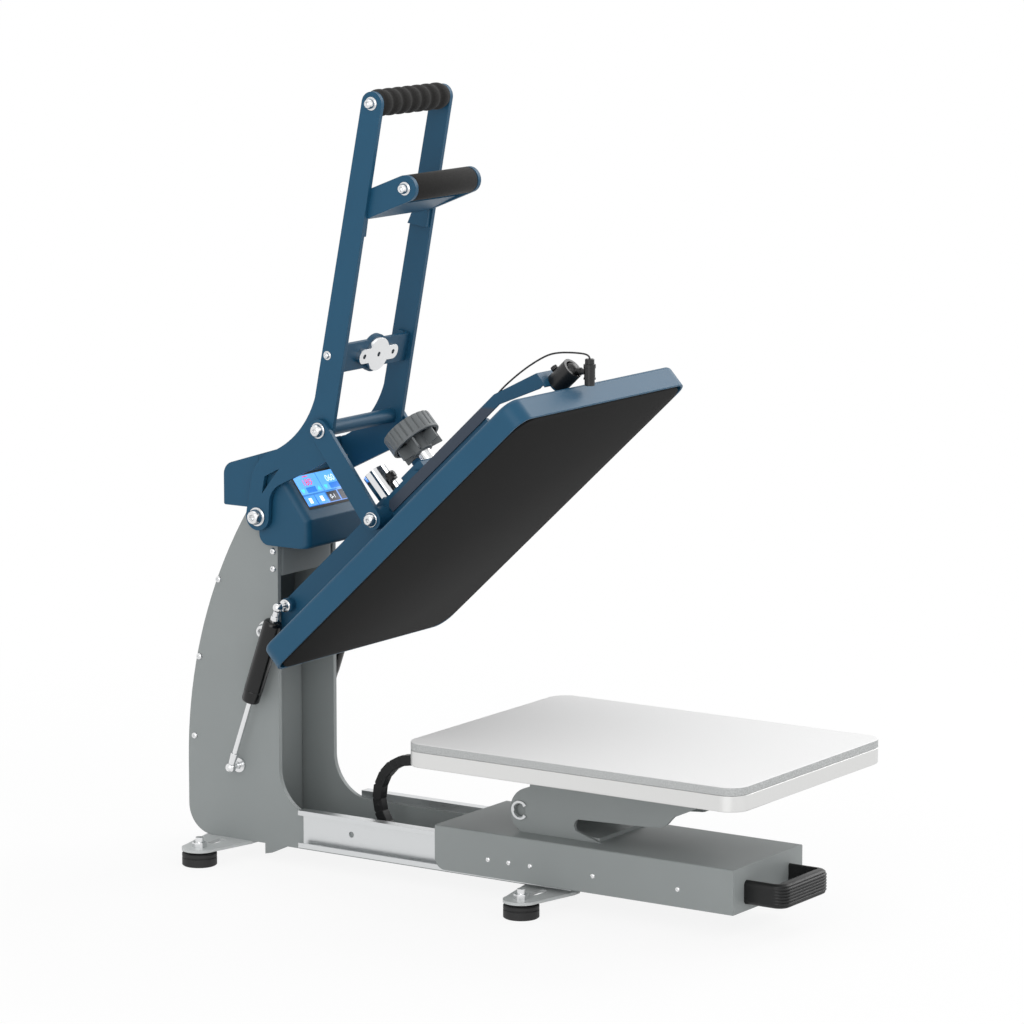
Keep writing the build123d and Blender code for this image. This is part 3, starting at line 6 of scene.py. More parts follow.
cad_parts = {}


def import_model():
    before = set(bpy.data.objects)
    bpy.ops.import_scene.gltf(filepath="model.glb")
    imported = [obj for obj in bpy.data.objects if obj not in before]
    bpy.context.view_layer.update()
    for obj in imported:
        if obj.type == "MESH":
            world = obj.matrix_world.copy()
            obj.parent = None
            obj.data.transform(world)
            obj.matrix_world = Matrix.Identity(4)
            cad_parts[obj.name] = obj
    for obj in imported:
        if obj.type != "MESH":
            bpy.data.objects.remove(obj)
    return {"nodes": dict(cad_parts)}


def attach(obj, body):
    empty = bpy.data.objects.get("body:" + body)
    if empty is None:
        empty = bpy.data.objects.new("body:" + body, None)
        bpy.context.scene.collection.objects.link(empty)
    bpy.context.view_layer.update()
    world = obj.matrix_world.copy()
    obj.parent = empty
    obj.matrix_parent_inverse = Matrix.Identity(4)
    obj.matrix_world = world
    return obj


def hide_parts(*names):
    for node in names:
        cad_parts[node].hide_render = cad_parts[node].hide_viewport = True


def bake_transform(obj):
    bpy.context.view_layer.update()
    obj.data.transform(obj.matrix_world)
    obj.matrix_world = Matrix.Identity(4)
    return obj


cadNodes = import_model()["nodes"]
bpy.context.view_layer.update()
print("model loaded,", len(cadNodes), "nodes")


def mm(value):
    return value / 1000


def hexColour(text):  # sRGB hex to the linear colour that the shaders want
    channels = [int(text[i:i + 2], 16) / 255 for i in (0, 2, 4)]
    return tuple(c / 12.92 if c <= 0.04045 else ((c + 0.055) / 1.055) ** 2.4 for c in channels) + (1,)


def addObject(name, data):
    thing = bpy.data.objects.new(name, data)
    bpy.context.scene.collection.objects.link(thing)
    return thing


def addMesh(bm, name, material):
    mesh = bpy.data.meshes.new(name)
    bm.to_mesh(mesh)
    bm.free()
    mesh.materials.append(material)
    return addObject(name, mesh)


# Places on the press, in millimetres: the head leans back 42.9 degrees about its pivot

head = {"pivotY": 255.5, "pivotZ": 239, "angle": math.radians(42.9)}
handlePivot = (256.1, 357.5)
crankPin = (175.9, 452.3)
topGrip = (113.4, 779)
lowerGrip = (77.5, 697.5)
headCos, headSin = math.cos(head["angle"]), math.sin(head["angle"])
alongHead = Vector((0, -headCos, headSin))
squareToHead = Vector((0, headSin, headCos))


def headPoint(x, u, v):  # u from the pivot to the front edge, v square to the platen
    return (x, head["pivotY"] - u * headCos + v * headSin, head["pivotZ"] + u * headSin + v * headCos)


def placeAt(origin, zAxis, xAxis=(1, 0, 0)):  # local Z along zAxis, local X as near xAxis as it goes
    z = Vector(zAxis).normalized()
    y = z.cross(Vector(xAxis)).normalized()
    x = y.cross(z)
    place = Matrix((x, y, z)).transposed().to_4x4()
    place.translation = Vector(origin) / 1000
    return place


def sideways(y, z, side=1, out=0.0):  # local Z points to one side of the machine, from out off its middle
    return placeAt((side * out, y, z), (side, 0, 0), (0, 1, 0))


# Camera and light

def setCamera():
    view = {"azimuth": -56.35, "pitch": 9.486, "focal": 4877.7, "frame": 1024, "sensor": 36,
            "padMiddle": (0, -0.1655, 0.168), "aside": -0.129337, "above": 0.221569, "away": 4.753925}
    a, e = math.radians(view["azimuth"]), math.radians(view["pitch"])
    back = Vector((math.sin(a) * math.cos(e), -math.cos(a) * math.cos(e), math.sin(e)))
    right = Vector((math.cos(a), math.sin(a), 0))
    up = back.cross(right)
    camera = addObject("camera", bpy.data.cameras.new("camera"))
    camera.data.sensor_width = view["sensor"]
    camera.data.lens = view["focal"] / view["frame"] * view["sensor"]
    camera.data.clip_start, camera.data.clip_end = 0.1, 40
    place = Matrix((right, up, back)).transposed().to_4x4()
    place.translation = Vector(view["padMiddle"]) + view["aside"] * right + view["above"] * up + view["away"] * back
    camera.matrix_world = place
    bpy.context.scene.camera = camera


def addNode(tree, kind, inputs=None, **settings):
    node = tree.nodes.new(kind)
    for name, value in settings.items():
        setattr(node, name, value)
    for name, value in (inputs or {}).items():
        if isinstance(value, bpy.types.NodeSocket):
            tree.links.new(value, node.inputs[name])
        else:
            node.inputs[name].default_value = value
    return node


def emptyTree(owner):  # the node tree of a world or a material, cleared
    owner.use_nodes = True
    owner.node_tree.nodes.clear()
    return owner.node_tree


def seenDirectly(tree):  # 1 where the camera, gloss or glass shows the backdrop, 0 where it only gives light
    path = addNode(tree, "ShaderNodeLightPath")
    seen = path.outputs["Is Camera Ray"]
    for ray in ("Is Glossy Ray", "Is Transmission Ray"):
        seen = addNode(tree, "ShaderNodeMath", {0: seen, 1: path.outputs[ray]}, operation="MAXIMUM").outputs[0]
    return seen


def setStage():
    studio = {"sky": 0.68, "floorColour": "F4F4F4", "floorSize": 14, "whiteNear": 0.88, "nearRadius": 0.5,
              "farRadius": 1.4, "lampsAim": (0, -0.05, 0.35)}
    lamps = {"left": ((-3.1, -0.9, 1.3), 2.4, 34), "right": ((2.6, -0.8, 2.0), 2.2, 44),  # spot, size and watts
             "over": ((0.3, 0.3, 3.0), 2.4, 9), "front": ((-0.4, -3.2, 1.5), 2.0, 13)}
    white = (1, 1, 1, 1)
    scene = bpy.context.scene
    scene.view_settings.view_transform = "Standard"
    scene.world = bpy.data.worlds.new("studio")
    tree = emptyTree(scene.world)
    light = addNode(tree, "ShaderNodeBackground", {"Color": white, "Strength": studio["sky"]})
    shown = addNode(tree, "ShaderNodeBackground", {"Color": white, "Strength": 1.0})
    mix = addNode(tree, "ShaderNodeMixShader", {0: seenDirectly(tree), 1: light.outputs[0], 2: shown.outputs[0]})
    addNode(tree, "ShaderNodeOutputWorld", {"Surface": mix.outputs[0]})

    material = bpy.data.materials.new("matteWhiteFloor")  # it pales to the backdrop's white away from the press
    tree = emptyTree(material)
    place = addNode(tree, "ShaderNodeTexCoord")
    reach = addNode(tree, "ShaderNodeVectorMath", {0: place.outputs["Object"]}, operation="LENGTH")
    paler = addNode(tree, "ShaderNodeMapRange", {
        "Value": reach.outputs["Value"], "From Min": studio["nearRadius"], "From Max": studio["farRadius"],
        "To Min": studio["whiteNear"], "To Max": 1.0}, interpolation_type="SMOOTHSTEP")
    share = addNode(tree, "ShaderNodeMath", {0: paler.outputs[0], 1: seenDirectly(tree)}, operation="MULTIPLY")
    diffuse = addNode(tree, "ShaderNodeBsdfDiffuse", {"Color": hexColour(studio["floorColour"])})
    glow = addNode(tree, "ShaderNodeEmission", {"Color": white, "Strength": 1.0})
    mix = addNode(tree, "ShaderNodeMixShader", {0: share.outputs[0], 1: diffuse.outputs[0], 2: glow.outputs[0]})
    addNode(tree, "ShaderNodeOutputMaterial", {"Surface": mix.outputs[0]})
    bm = bmesh.new()
    bmesh.ops.create_grid(bm, x_segments=1, y_segments=1, size=studio["floorSize"] / 2)
    addMesh(bm, "floor", material)

    for name, (spot, size, power) in lamps.items():
        lamp = bpy.data.lights.new(name, "AREA")
        lamp.size = size
        lamp.energy = power
        aim = Vector(studio["lampsAim"]) - Vector(spot)
        turn = aim.to_track_quat("-Z", "Y").to_matrix().to_4x4()
        addObject(name, lamp).matrix_world = Matrix.Translation(spot) @ turn


setCamera()
setStage()
print("camera and light set")


# Finishes

def startMaterial(name, colour, roughness, metallic=0.0, specular=0.5):
    material = bpy.data.materials.new(name)
    tree = emptyTree(material)
    shader = addNode(tree, "ShaderNodeBsdfPrincipled", {
        "Base Color": hexColour(colour), "Metallic": metallic, "Roughness": roughness,
        "Specular IOR Level": specular})
    addNode(tree, "ShaderNodeOutputMaterial", {"Surface": shader.outputs[0]})
    return material, tree, shader


def grainOf(tree, sizeMm, detail=2.0, stretch=(1, 1, 1)):  # noise with cells of about sizeMm
    spot = addNode(tree, "ShaderNodeTexCoord")
    scaled = addNode(tree, "ShaderNodeMapping", {"Vector": spot.outputs["Object"], "Scale": stretch})
    noise = addNode(tree, "ShaderNodeTexNoise", {
        "Vector": scaled.outputs[0], "Scale": 1000 / sizeMm, "Detail": detail, "Roughness": 0.55})
    return noise.outputs["Fac"]


def heightShare(tree, lowMm, highMm):  # 0 up to lowMm above the floor, rising to 1 at highMm
    spot = addNode(tree, "ShaderNodeTexCoord")
    parts = addNode(tree, "ShaderNodeSeparateXYZ", {0: spot.outputs["Object"]})
    share = addNode(tree, "ShaderNodeMapRange", {
        "Value": parts.outputs["Z"], "From Min": mm(lowMm), "From Max": mm(highMm)})
    return share.outputs[0]


def addRelief(tree, shader, height=None, depthMm=0.0, edgeMm=0.0):
    # bumps of depthMm, on edges that look rounded by edgeMm, as those of a deburred and coated plate
    normal = {}
    if edgeMm:
        edge = addNode(tree, "ShaderNodeBevel", {"Radius": mm(edgeMm)}, samples=4)
        normal = {"Normal": edge.outputs[0]}
    if height is not None:
        bump = addNode(tree, "ShaderNodeBump", {
            "Height": height, "Strength": 1.0, "Distance": mm(depthMm), **normal})
        normal = {"Normal": bump.outputs[0]}
    tree.links.new(normal["Normal"], shader.inputs["Normal"])


def twoTones(tree, shader, colour, other, factor):  # the colour drifts a little between two tones
    mix = addNode(tree, "ShaderNodeMix", {
        "Factor": factor, "A": hexColour(colour), "B": hexColour(other)}, data_type="RGBA")
    tree.links.new(mix.outputs["Result"], shader.inputs["Base Color"])


def setStops(ramp, *stops):
    for element, (position, colour) in zip(ramp.color_ramp.elements, stops):
        element.position = position
        element.color = hexColour(colour)


def powderCoat(name, colour, other, roughness, grainMm=0.9, depthMm=0.02, specular=0.5):
    # polyester powder baked on steel: satin, with a faint orange peel, slightly rounded edges and a slow drift
    material, tree, shader = startMaterial(name, colour, roughness, specular=specular)
    addRelief(tree, shader, grainOf(tree, grainMm), depthMm, 0.8)
    twoTones(tree, shader, colour, other, grainOf(tree, 60, detail=1.0))
    return material


def bracketCoatWithPaintedShade():
    # the same blue powder coat, with the root of the bent strip painted slate gray as painted shade, standing in
    # for how light falls on that face
    material = powderCoat("powderCoatedSteelBlueWithPaintedShade", "1B4F6C", "194B67", 0.4, specular=0.3)
    tree = material.node_tree
    shader = next(node for node in tree.nodes if node.type == "BSDF_PRINCIPLED")
    # painted shade: slate up to 486 mm above the floor, fading into the blue by 489 mm
    coat = addNode(tree, "ShaderNodeMix", {
        "Factor": heightShare(tree, 486, 489), "A": hexColour("3D4755"),
        "B": shader.inputs["Base Color"].links[0].from_socket}, data_type="RGBA")
    tree.links.new(coat.outputs["Result"], shader.inputs["Base Color"])
    return material


def metalFinish(name, colour, roughness, brushMm=None, stretch=(1, 1, 1)):
    # plated, polished or machined metal: clear reflections, streaked where it was rolled or milled; the marks are
    # drawn brushMm wide, coarser than the real ones, so that they show
    material, tree, shader = startMaterial(name, colour, roughness, metallic=1.0)
    if not brushMm:
        addRelief(tree, shader, edgeMm=0.4)
        return material
    brush = grainOf(tree, brushMm, detail=3.0, stretch=stretch)
    spread = addNode(tree, "ShaderNodeMapRange", {
        "Value": brush, "To Min": max(0.02, roughness - 0.1), "To Max": roughness + 0.14})
    tree.links.new(spread.outputs[0], shader.inputs["Roughness"])
    addRelief(tree, shader, brush, 0.01, 0.4)
    return material


def mouldedPlastic(name, colour, other, roughness, grainMm=0.5, specular=0.5):
    # injection-moulded: even satin from a fine spark-eroded grain, drawn coarser than the real one to show
    material, tree, shader = startMaterial(name, colour, roughness, specular=specular)
    grain = grainOf(tree, grainMm)
    twoTones(tree, shader, colour, other, grain)
    addRelief(tree, shader, grain, 0.03, 0.6)
    return material


def foamRubber(name, colour, other):
    # nitrile foam sleeve: matte, its fine open cells a dark speckle, drawn 1.3 mm wide so that they show
    material, tree, shader = startMaterial(name, colour, 0.9, specular=0.2)
    shader.inputs["Sheen Weight"].default_value = 0.06
    shader.inputs["Sheen Roughness"].default_value = 0.5
    spot = addNode(tree, "ShaderNodeTexCoord")
    cells = addNode(tree, "ShaderNodeTexVoronoi", {"Vector": spot.outputs["Object"], "Scale": 1000 / 1.3})
    both = addNode(tree, "ShaderNodeMath", {
        0: cells.outputs["Distance"], 1: grainOf(tree, 2.2, detail=3.0)}, operation="MULTIPLY")
    twoTones(tree, shader, colour, other, both.outputs[0])
    addRelief(tree, shader, both.outputs[0], 0.25)
    return material


def spongeSheet():
    # white silicone sponge: smooth skin above, sawn edge in mottled gray with its cells drawn 1 mm wide to show
    material, tree, shader = startMaterial("siliconeSponge", "E9E9E9", 0.55)
    facing = addNode(tree, "ShaderNodeNewGeometry")
    parts = addNode(tree, "ShaderNodeSeparateXYZ", {0: facing.outputs["Normal"]})
    edge = addNode(tree, "ShaderNodeMapRange", {"Value": parts.outputs["Z"], "From Min": 0.75, "From Max": 0.35})
    cells = grainOf(tree, 1.0, detail=3.0)
    cut = addNode(tree, "ShaderNodeValToRGB", {"Fac": cells})
    setStops(cut, (0.36, "9C9E9E"), (0.66, "BEC0C0"))
    skin = addNode(tree, "ShaderNodeMix", {
        "Factor": grainOf(tree, 1.2), "A": hexColour("E4E4E4"), "B": hexColour("EFEFEF")}, data_type="RGBA")
    mix = addNode(tree, "ShaderNodeMix", {
        "Factor": edge.outputs[0], "A": skin.outputs["Result"], "B": cut.outputs["Color"]}, data_type="RGBA")
    tree.links.new(mix.outputs["Result"], shader.inputs["Base Color"])
    addRelief(tree, shader, cells, 0.06)
    return material


def litFigures(name, colour, glow):  # one lit colour of the display, even and without grain
    material, tree, shader = startMaterial(name, colour, 0.35)
    shader.inputs["Emission Color"].default_value = hexColour(colour)
    shader.inputs["Emission Strength"].default_value = glow
    return material


def litPanel():
    # backlit liquid crystal panel behind glass, brighter towards its top edge
    material, tree, shader = startMaterial("backlitPanel", "0A2038", 0.12)
    tone = addNode(tree, "ShaderNodeValToRGB", {"Fac": heightShare(tree, 372, 398)})
    setStops(tone, (0, "3D8BF2"), (1, "86CBFF"))
    tree.links.new(tone.outputs["Color"], shader.inputs["Emission Color"])
    shader.inputs["Emission Strength"].default_value = 0.85
    return material


steelGray = powderCoat("powderCoatedSteelGray", "919696", "8D9292", 0.5, specular=0.4)
guardPaint = powderCoat("powderCoatedSteelCharcoal", "6B7071", "666B6C", 0.55, specular=0.3)
palePaint = powderCoat("powderCoatedSteelPale", "CDD0D0", "B0B4B4", 0.4)
bluePaint = powderCoat("powderCoatedSteelBlue", "1B4F6C", "194B67", 0.42, specular=0.3)
zinc = metalFinish("zincPlatedSteel", "E2E3E4", 0.24)
rolledZinc = metalFinish("zincPlatedRolledSheet", "D4D6D7", 0.3, brushMm=0.6, stretch=(1, 0.03, 1))
polishedChrome = metalFinish("polishedChrome", "E2E3E4", 0.06)
platenAlloy = metalFinish("machinedAluminium", "DCDCDB", 0.36, brushMm=1.2, stretch=(1, 1, 0.04))
nonStick = powderCoat("blackNonStickCoating", "1A1A1A", "1C1C1C", 0.7, grainMm=0.7, depthMm=0.01, specular=0.08)
glossBlack = powderCoat("blackEnamel", "0C0D0E", "0A0B0C", 0.2, grainMm=2.0, depthMm=0.004, specular=0.4)
nylonBlack = mouldedPlastic("glassFilledNylonBlack", "0B0C0C", "18191A", 0.42, specular=0.35)
chainBlack = mouldedPlastic("polyamideChainBlack", "141516", "18191A", 0.5, specular=0.3)
absBlack = mouldedPlastic("mouldedAbsBlack", "0E0F10", "121314", 0.34)
nylonGray = mouldedPlastic("glassFilledNylonGray", "686C6E", "707475", 0.5)
rubberBlack = mouldedPlastic("vulcanisedRubber", "121213", "171718", 0.62, grainMm=0.8)
foamBlack = foamRubber("nitrileFoam", "191817", "2B2A29")
pvcBlack = mouldedPlastic("pvcSheath", "161617", "1A1A1B", 0.4)
sponge = spongeSheet()
panelLight = litPanel()
print("finishes made")


def paint(material, *names):  # for the CAD nodes that keep their own shape
    for name in names:
        slots = cadNodes[name].data.materials
        slots.clear()
        slots.append(material)


paint(steelGray, "left_side_plate", "right_side_plate", "front_web", "upper_front_panel", "base_plate",
      "drawer_box", "pedestal_base", "chain_anchor")
paint(bluePaint, "left_handle_arm", "right_handle_arm", "cross_tube", "cross_plate", "grip_bracket", "links",
      "head_arm_plates", "arm_base_plate", "screw_block", "magnet_stand")
paint(bracketCoatWithPaintedShade(), "laser_bracket")
paint(zinc, "spring_studs", "foot_studs", "platen_guides", "pressure_screw", "armature")
paint(rolledZinc, "fixed_rails", "inner_rails")
paint(palePaint, "foot_brackets")
paint(polishedChrome, "electromagnet")
paint(platenAlloy, "lower_platen")
paint(absBlack, "power_inlet", "rocker_switch", "laser_socket")
paint(guardPaint, "pivot_guard")


# Mesh helpers

def polar(radius, degrees):  # a point on a circle round the origin
    a = math.radians(degrees)
    return radius * math.cos(a), radius * math.sin(a)


def rect(left, low, right, high):
    return [(left, low), (right, low), (right, high), (left, high)]


def roundedRect(width, depth, frontRadius, rearRadius, inset=0.0, steps=8):  # its front is towards local -Y
    points = []
    for sx, sy, start, radius in ((1, 1, 0, rearRadius), (-1, 1, 90, rearRadius), (-1, -1, 180, frontRadius),
                                  (1, -1, 270, frontRadius)):
        bend = max(radius - inset, 0.6)
        cx, cy = sx * (width / 2 - inset - bend), sy * (depth / 2 - inset - bend)
        for k in range(steps + 1):
            x, y = polar(bend, start + 90 * k / steps)
            points.append((cx + x, cy + y))
    return points


def newVerts(bm, before):
    return [vert for vert in bm.verts if vert not in before]


def flatFace(bm, outline):
    return bm.faces.new([bm.verts.new((mm(x), mm(y), 0)) for x, y in outline])


def bevelEdges(bm, edges, width, segments):
    bmesh.ops.bevel(bm, geom=edges, offset=mm(width), offset_type="OFFSET", segments=segments, profile=0.5,
                    affect="EDGES", clamp_overlap=True, material=-1)


def spun(bm, profile, place, steps=40):
    # profile is (height, radius) in millimetres, turned about the local Z of place
    before = set(bm.verts)
    verts = [bm.verts.new((mm(radius), 0, mm(height))) for height, radius in profile]
    edges = [bm.edges.new(pair) for pair in zip(verts, verts[1:])]
    bmesh.ops.spin(bm, geom=verts + edges, cent=(0, 0, 0), axis=(0, 0, 1), dvec=(0, 0, 0), angle=2 * math.pi,
                   steps=steps, use_merge=True, use_normal_flip=False, use_duplicate=False)
    bmesh.ops.transform(bm, matrix=place, verts=newVerts(bm, before))


def slab(bm, outline, depth, place, bevel=0.0, segments=2):
    # a flat outline in millimetres, extruded along the local Z of place
    before = set(bm.verts)
    made = bmesh.ops.extrude_face_region(bm, geom=[flatFace(bm, outline)])
    lifted = [item for item in made["geom"] if isinstance(item, bmesh.types.BMVert)]
    bmesh.ops.translate(bm, vec=(0, 0, mm(depth)), verts=lifted)
    if bevel:
        fresh = set(newVerts(bm, before))
        bevelEdges(bm, [edge for edge in bm.edges if edge.verts[0] in fresh and len(edge.link_faces) == 2
                        and edge.calc_face_angle() > 0.6], bevel, segments)
    bmesh.ops.transform(bm, matrix=place, verts=newVerts(bm, before))


def loft(bm, rings):  # rings are closed lists of points in millimetres, all with as many points
    ring = [bm.verts.new(Vector(point) / 1000) for point in rings[0]]
    edges = [bm.edges.new(pair) for pair in zip(ring, ring[1:] + ring[:1])]
    bm.faces.new(ring)
    for points in rings[1:]:
        made = bmesh.ops.extrude_edge_only(bm, edges=edges)["geom"]
        fresh = {item for item in made if isinstance(item, bmesh.types.BMVert)}
        edges = [item for item in made if isinstance(item, bmesh.types.BMEdge) and set(item.verts) <= fresh]
        ring = [next(edge.other_vert(vert) for edge in vert.link_edges if edge.other_vert(vert) in fresh)
                for vert in ring]
        for vert, point in zip(ring, points):
            vert.co = Vector(point) / 1000
    bm.faces.new(ring)


def stacked(bm, rings, place):  # rings are (outline, height), every outline with as many points
    before = set(bm.verts)
    loft(bm, [[(x, y, height) for x, y in outline] for outline, height in rings])
    bmesh.ops.transform(bm, matrix=place, verts=newVerts(bm, before))


def plainMesh(holder):  # the mesh of a curve or a text
    bpy.context.view_layer.update()
    return bpy.data.meshes.new_from_object(holder.evaluated_get(bpy.context.evaluated_depsgraph_get()))


def finishPiece(bm, name, material, body, smoothAngle=35, replaced=()):
    bmesh.ops.remove_doubles(bm, verts=bm.verts, dist=mm(0.001))
    bmesh.ops.recalc_face_normals(bm, faces=bm.faces)
    for face in bm.faces:
        face.smooth = True
    for edge in bm.edges:
        if len(edge.link_faces) == 2 and edge.calc_face_angle() > math.radians(smoothAngle):
            edge.smooth = False
    piece = addMesh(bm, name, material)
    if body:  # a piece that crosses a joint is left without a body
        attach(piece, body)
    if replaced:
        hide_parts(*replaced)
    return piece


def levelFlats(piece):  # keeps the shading of large flat faces level beside their rounded edges
    modifier = piece.modifiers.new("faceWeight", "WEIGHTED_NORMAL")
    modifier.keep_sharp = True
    modifier.weight = 80


# Bolts: washer, domed head and a hexagon socket

boltStyle = {"socketDepth": 0.5, "steps": 36, "dome": 6, "domeFrom": 15}
boltSizes = {  # radius and height of the washer, radius and height of the head, radius of the socket
    "pivot": (9.5, 1.5, 8, 8, 3.6), "grip": (6.7, 1.2, 5.2, 6, 2.4), "crank": (8, 1.3, 6.8, 6, 2.4),
    "link": (7.6, 1.2, 6.8, 5.5, 2.2), "plate": (3.6, 0.3, 3.5, 2.1, 1.3), "drawer": (2.6, 0.1, 2.5, 1.1, 0.9),
    "crossPlate": (4.5, 0.8, 3.2, 2.6, 1.4)}


def bolt(bm, place, size):
    washerRadius, washerHeight, headRadius, headHeight, socketRadius = boltSizes[size]
    top, rim = washerHeight + headHeight, socketRadius * 1.25
    profile = [(0, 0), (0, washerRadius - 0.2), (0.2, washerRadius), (washerHeight - 0.3, washerRadius),
               (washerHeight, washerRadius - 0.4), (washerHeight, headRadius)]
    for k in range(boltStyle["dome"] + 1):
        x, y = polar(1, boltStyle["domeFrom"] + (90 - boltStyle["domeFrom"]) * k / boltStyle["dome"])
        profile.append((washerHeight + headHeight * y, rim + (headRadius - rim) * x))
    depth = headHeight * boltStyle["socketDepth"]
    socket = [(top, socketRadius), (top - depth, socketRadius), (top - depth - 0.15 * socketRadius, 0)]
    before = set(bm.verts)
    spun(bm, profile + socket, Matrix.Identity(4), steps=boltStyle["steps"])
    fresh = newVerts(bm, before)
    for vert in fresh:  # the round socket becomes a hexagon
        radius = math.hypot(vert.co.x, vert.co.y)
        if abs(radius - mm(socketRadius)) < 1e-6:
            a = math.atan2(vert.co.y, vert.co.x)
            apart = (a + math.pi / 6) % (math.pi / 3) - math.pi / 6
            grow = math.cos(math.pi / 6) / math.cos(apart)
            vert.co.x *= grow
            vert.co.y *= grow
    bmesh.ops.transform(bm, matrix=place, verts=fresh)


def boltPair(bm, out, y, z, size):  # one head on each side of the machine
    for side in (-1, 1):
        bolt(bm, sideways(y, z, side, out), size)


def rodAcross(bm, half, radius, y, z):
    spun(bm, [(-half, 0), (-half, radius), (half, radius), (half, 0)], sideways(y, z))


def shankPair(bm, inner, outer, radius, y, z):  # a short rod on each side
    for side in (-1, 1):
        spun(bm, [(inner, 0), (inner, radius), (outer, radius), (outer, 0)], sideways(y, z, side))


def makeBolts():
    outside = {"plates": 50, "handle": 62, "handlePivot": 62.3, "lowerGrip": 57, "links": 67.3, "crank": 67.6,
               "drawer": 65}
    pinRadius = 5
    headPivot = (head["pivotY"], head["pivotZ"])
    linkPin = headPoint(0, 193, -2.6)[1:]

    for name, half, radius, spot, node in (
            ("handlePivotBolt", outside["handlePivot"], 7.9, handlePivot, "handle_pivot_shaft"),
            ("headPivotBolt", outside["plates"], 9.9, headPivot, "head_pivot_shaft")):
        bm = bmesh.new()
        rodAcross(bm, half, radius, *spot)
        boltPair(bm, half, *spot, "pivot")
        finishPiece(bm, name, zinc, "frame", replaced=[node])

    bm = bmesh.new()
    for out, spot in ((outside["handle"], topGrip), (outside["lowerGrip"], lowerGrip)):
        rodAcross(bm, out, pinRadius, *spot)
        boltPair(bm, out, *spot, "grip")
    shankPair(bm, 45, outside["crank"], pinRadius, *crankPin)
    boltPair(bm, outside["crank"], *crankPin, "crank")
    finishPiece(bm, "handleBolts", zinc, "handle", replaced=["handle_bolts"])

    bm = bmesh.new()
    shankPair(bm, 50, outside["links"], pinRadius, *linkPin)
    boltPair(bm, outside["links"], *linkPin, "link")
    finishPiece(bm, "linkBolts", zinc, "link_bars", replaced=["link_pins"])
    bm = bmesh.new()
    spacer = [(46.3, 0), (46.3, 10.6), (46.7, 11), (61.9, 11), (62.3, 10.6), (62.3, 0)]
    for side in (-1, 1):
        spun(bm, spacer, sideways(*linkPin, side))
    finishPiece(bm, "linkSpacers", bluePaint, "link_bars", replaced=["link_pins"])

    plateSpots = [(245.5, 321.4), (245.5, 303.5), (314.5, 285.8), (340, 203.4), (347, 120)]
    drawerSpots = [(y, 42) for y in (-244.1, -147.2, -74.5, -49.3, -25)]
    for name, size, out, spots, body, nodes in (
            ("plateScrews", "plate", outside["plates"], plateSpots, "frame", ["plate_screws"]),
            ("drawerScrews", "drawer", outside["drawer"], drawerSpots, "drawer", ["drawer_screws"]),
            ("crossPlateScrews", "crossPlate", outside["handle"], [(168.1, 527.3)], "handle", [])):
        bm = bmesh.new()
        for spot in spots:
            boltPair(bm, out, *spot, size)
        finishPiece(bm, name, zinc, body, replaced=nodes)


makeBolts()
print("bolts made")


# Grips, pad and feet

def makeGrips():
    ribbed = {"half": 57, "radius": 13.5, "wave": 1.5, "narrowness": 1.6, "lobes": 7, "stepsPerLobe": 12}
    smooth = {"half": 52, "radius": 13, "round": 2.0}
    bore = 5.1
    count = ribbed["lobes"] * ribbed["stepsPerLobe"]
    waves = []
    for k in range(count + 1):
        groove = 0.5 + 0.5 * math.cos(2 * math.pi * k / ribbed["stepsPerLobe"])
        radius = ribbed["radius"] - ribbed["wave"] * groove ** ribbed["narrowness"]
        waves.append((ribbed["half"] * (2 * k / count - 1), radius))
    half, radius, bend = smooth["half"], smooth["radius"], smooth["round"]
    plain = [(-half, radius - bend), (-half + 0.3 * bend, radius - 0.3 * bend), (-half + bend, radius)]
    plain += [(-height, radius) for height, radius in reversed(plain)]
    for name, profile, spot, node in (("topFoamGrip", waves, topGrip, "top_grip"),
                                      ("lowerFoamGrip", plain, lowerGrip, "lower_grip")):
        bm = bmesh.new()
        spun(bm, [(profile[0][0], bore), *profile, (profile[-1][0], bore)], sideways(*spot), steps=64)
        grip = finishPiece(bm, name, foamBlack, "handle", 60, [node])


def makePad():
    pad = {"width": 280, "depth": 380, "corner": 20, "thick": 8, "bottom": 160, "middle": -165.5, "edge": 1.2}
    bm = bmesh.new()
    slab(bm, roundedRect(pad["width"], pad["depth"], pad["corner"], pad["corner"], steps=12), pad["thick"],
         placeAt((0, pad["middle"], pad["bottom"]), (0, 0, 1)))
    top = max(face.calc_center_median().z for face in bm.faces)
    rim = [edge for edge in bm.edges if len(edge.link_faces) == 2 and edge.calc_face_angle() > 1.2
           and min(vert.co.z for vert in edge.verts) > top - 1e-5]
    bevelEdges(bm, rim, pad["edge"], 4)
    piece = finishPiece(bm, "siliconeSheet", sponge, "drawer", 40, ["silicone_pad"])


def makeFeet():
    feet = {"aside": 100, "front": -87.5, "rear": 304.5}
    profile = [(0, 0), (0, 16.6), (0.9, 17.75), (8.2, 17.75), (8.6, 17.1), (9.3, 17.1), (9.7, 17.75), (12.4, 17.75),
               (13.5, 16.6), (13.5, 0)]
    bm = bmesh.new()
    for x in (-feet["aside"], feet["aside"]):
        for y in (feet["front"], feet["rear"]):
            spun(bm, profile, placeAt((x, y, 0), (0, 0, 1)), steps=56)
    finishPiece(bm, "rubberFeet", rubberBlack, "frame", replaced=["rubber_feet"])


makeGrips()
makePad()
makeFeet()
print("grips, pad and feet made")


# Gas springs: the cylinder with its rolled cap, and the ball stud fitting above it

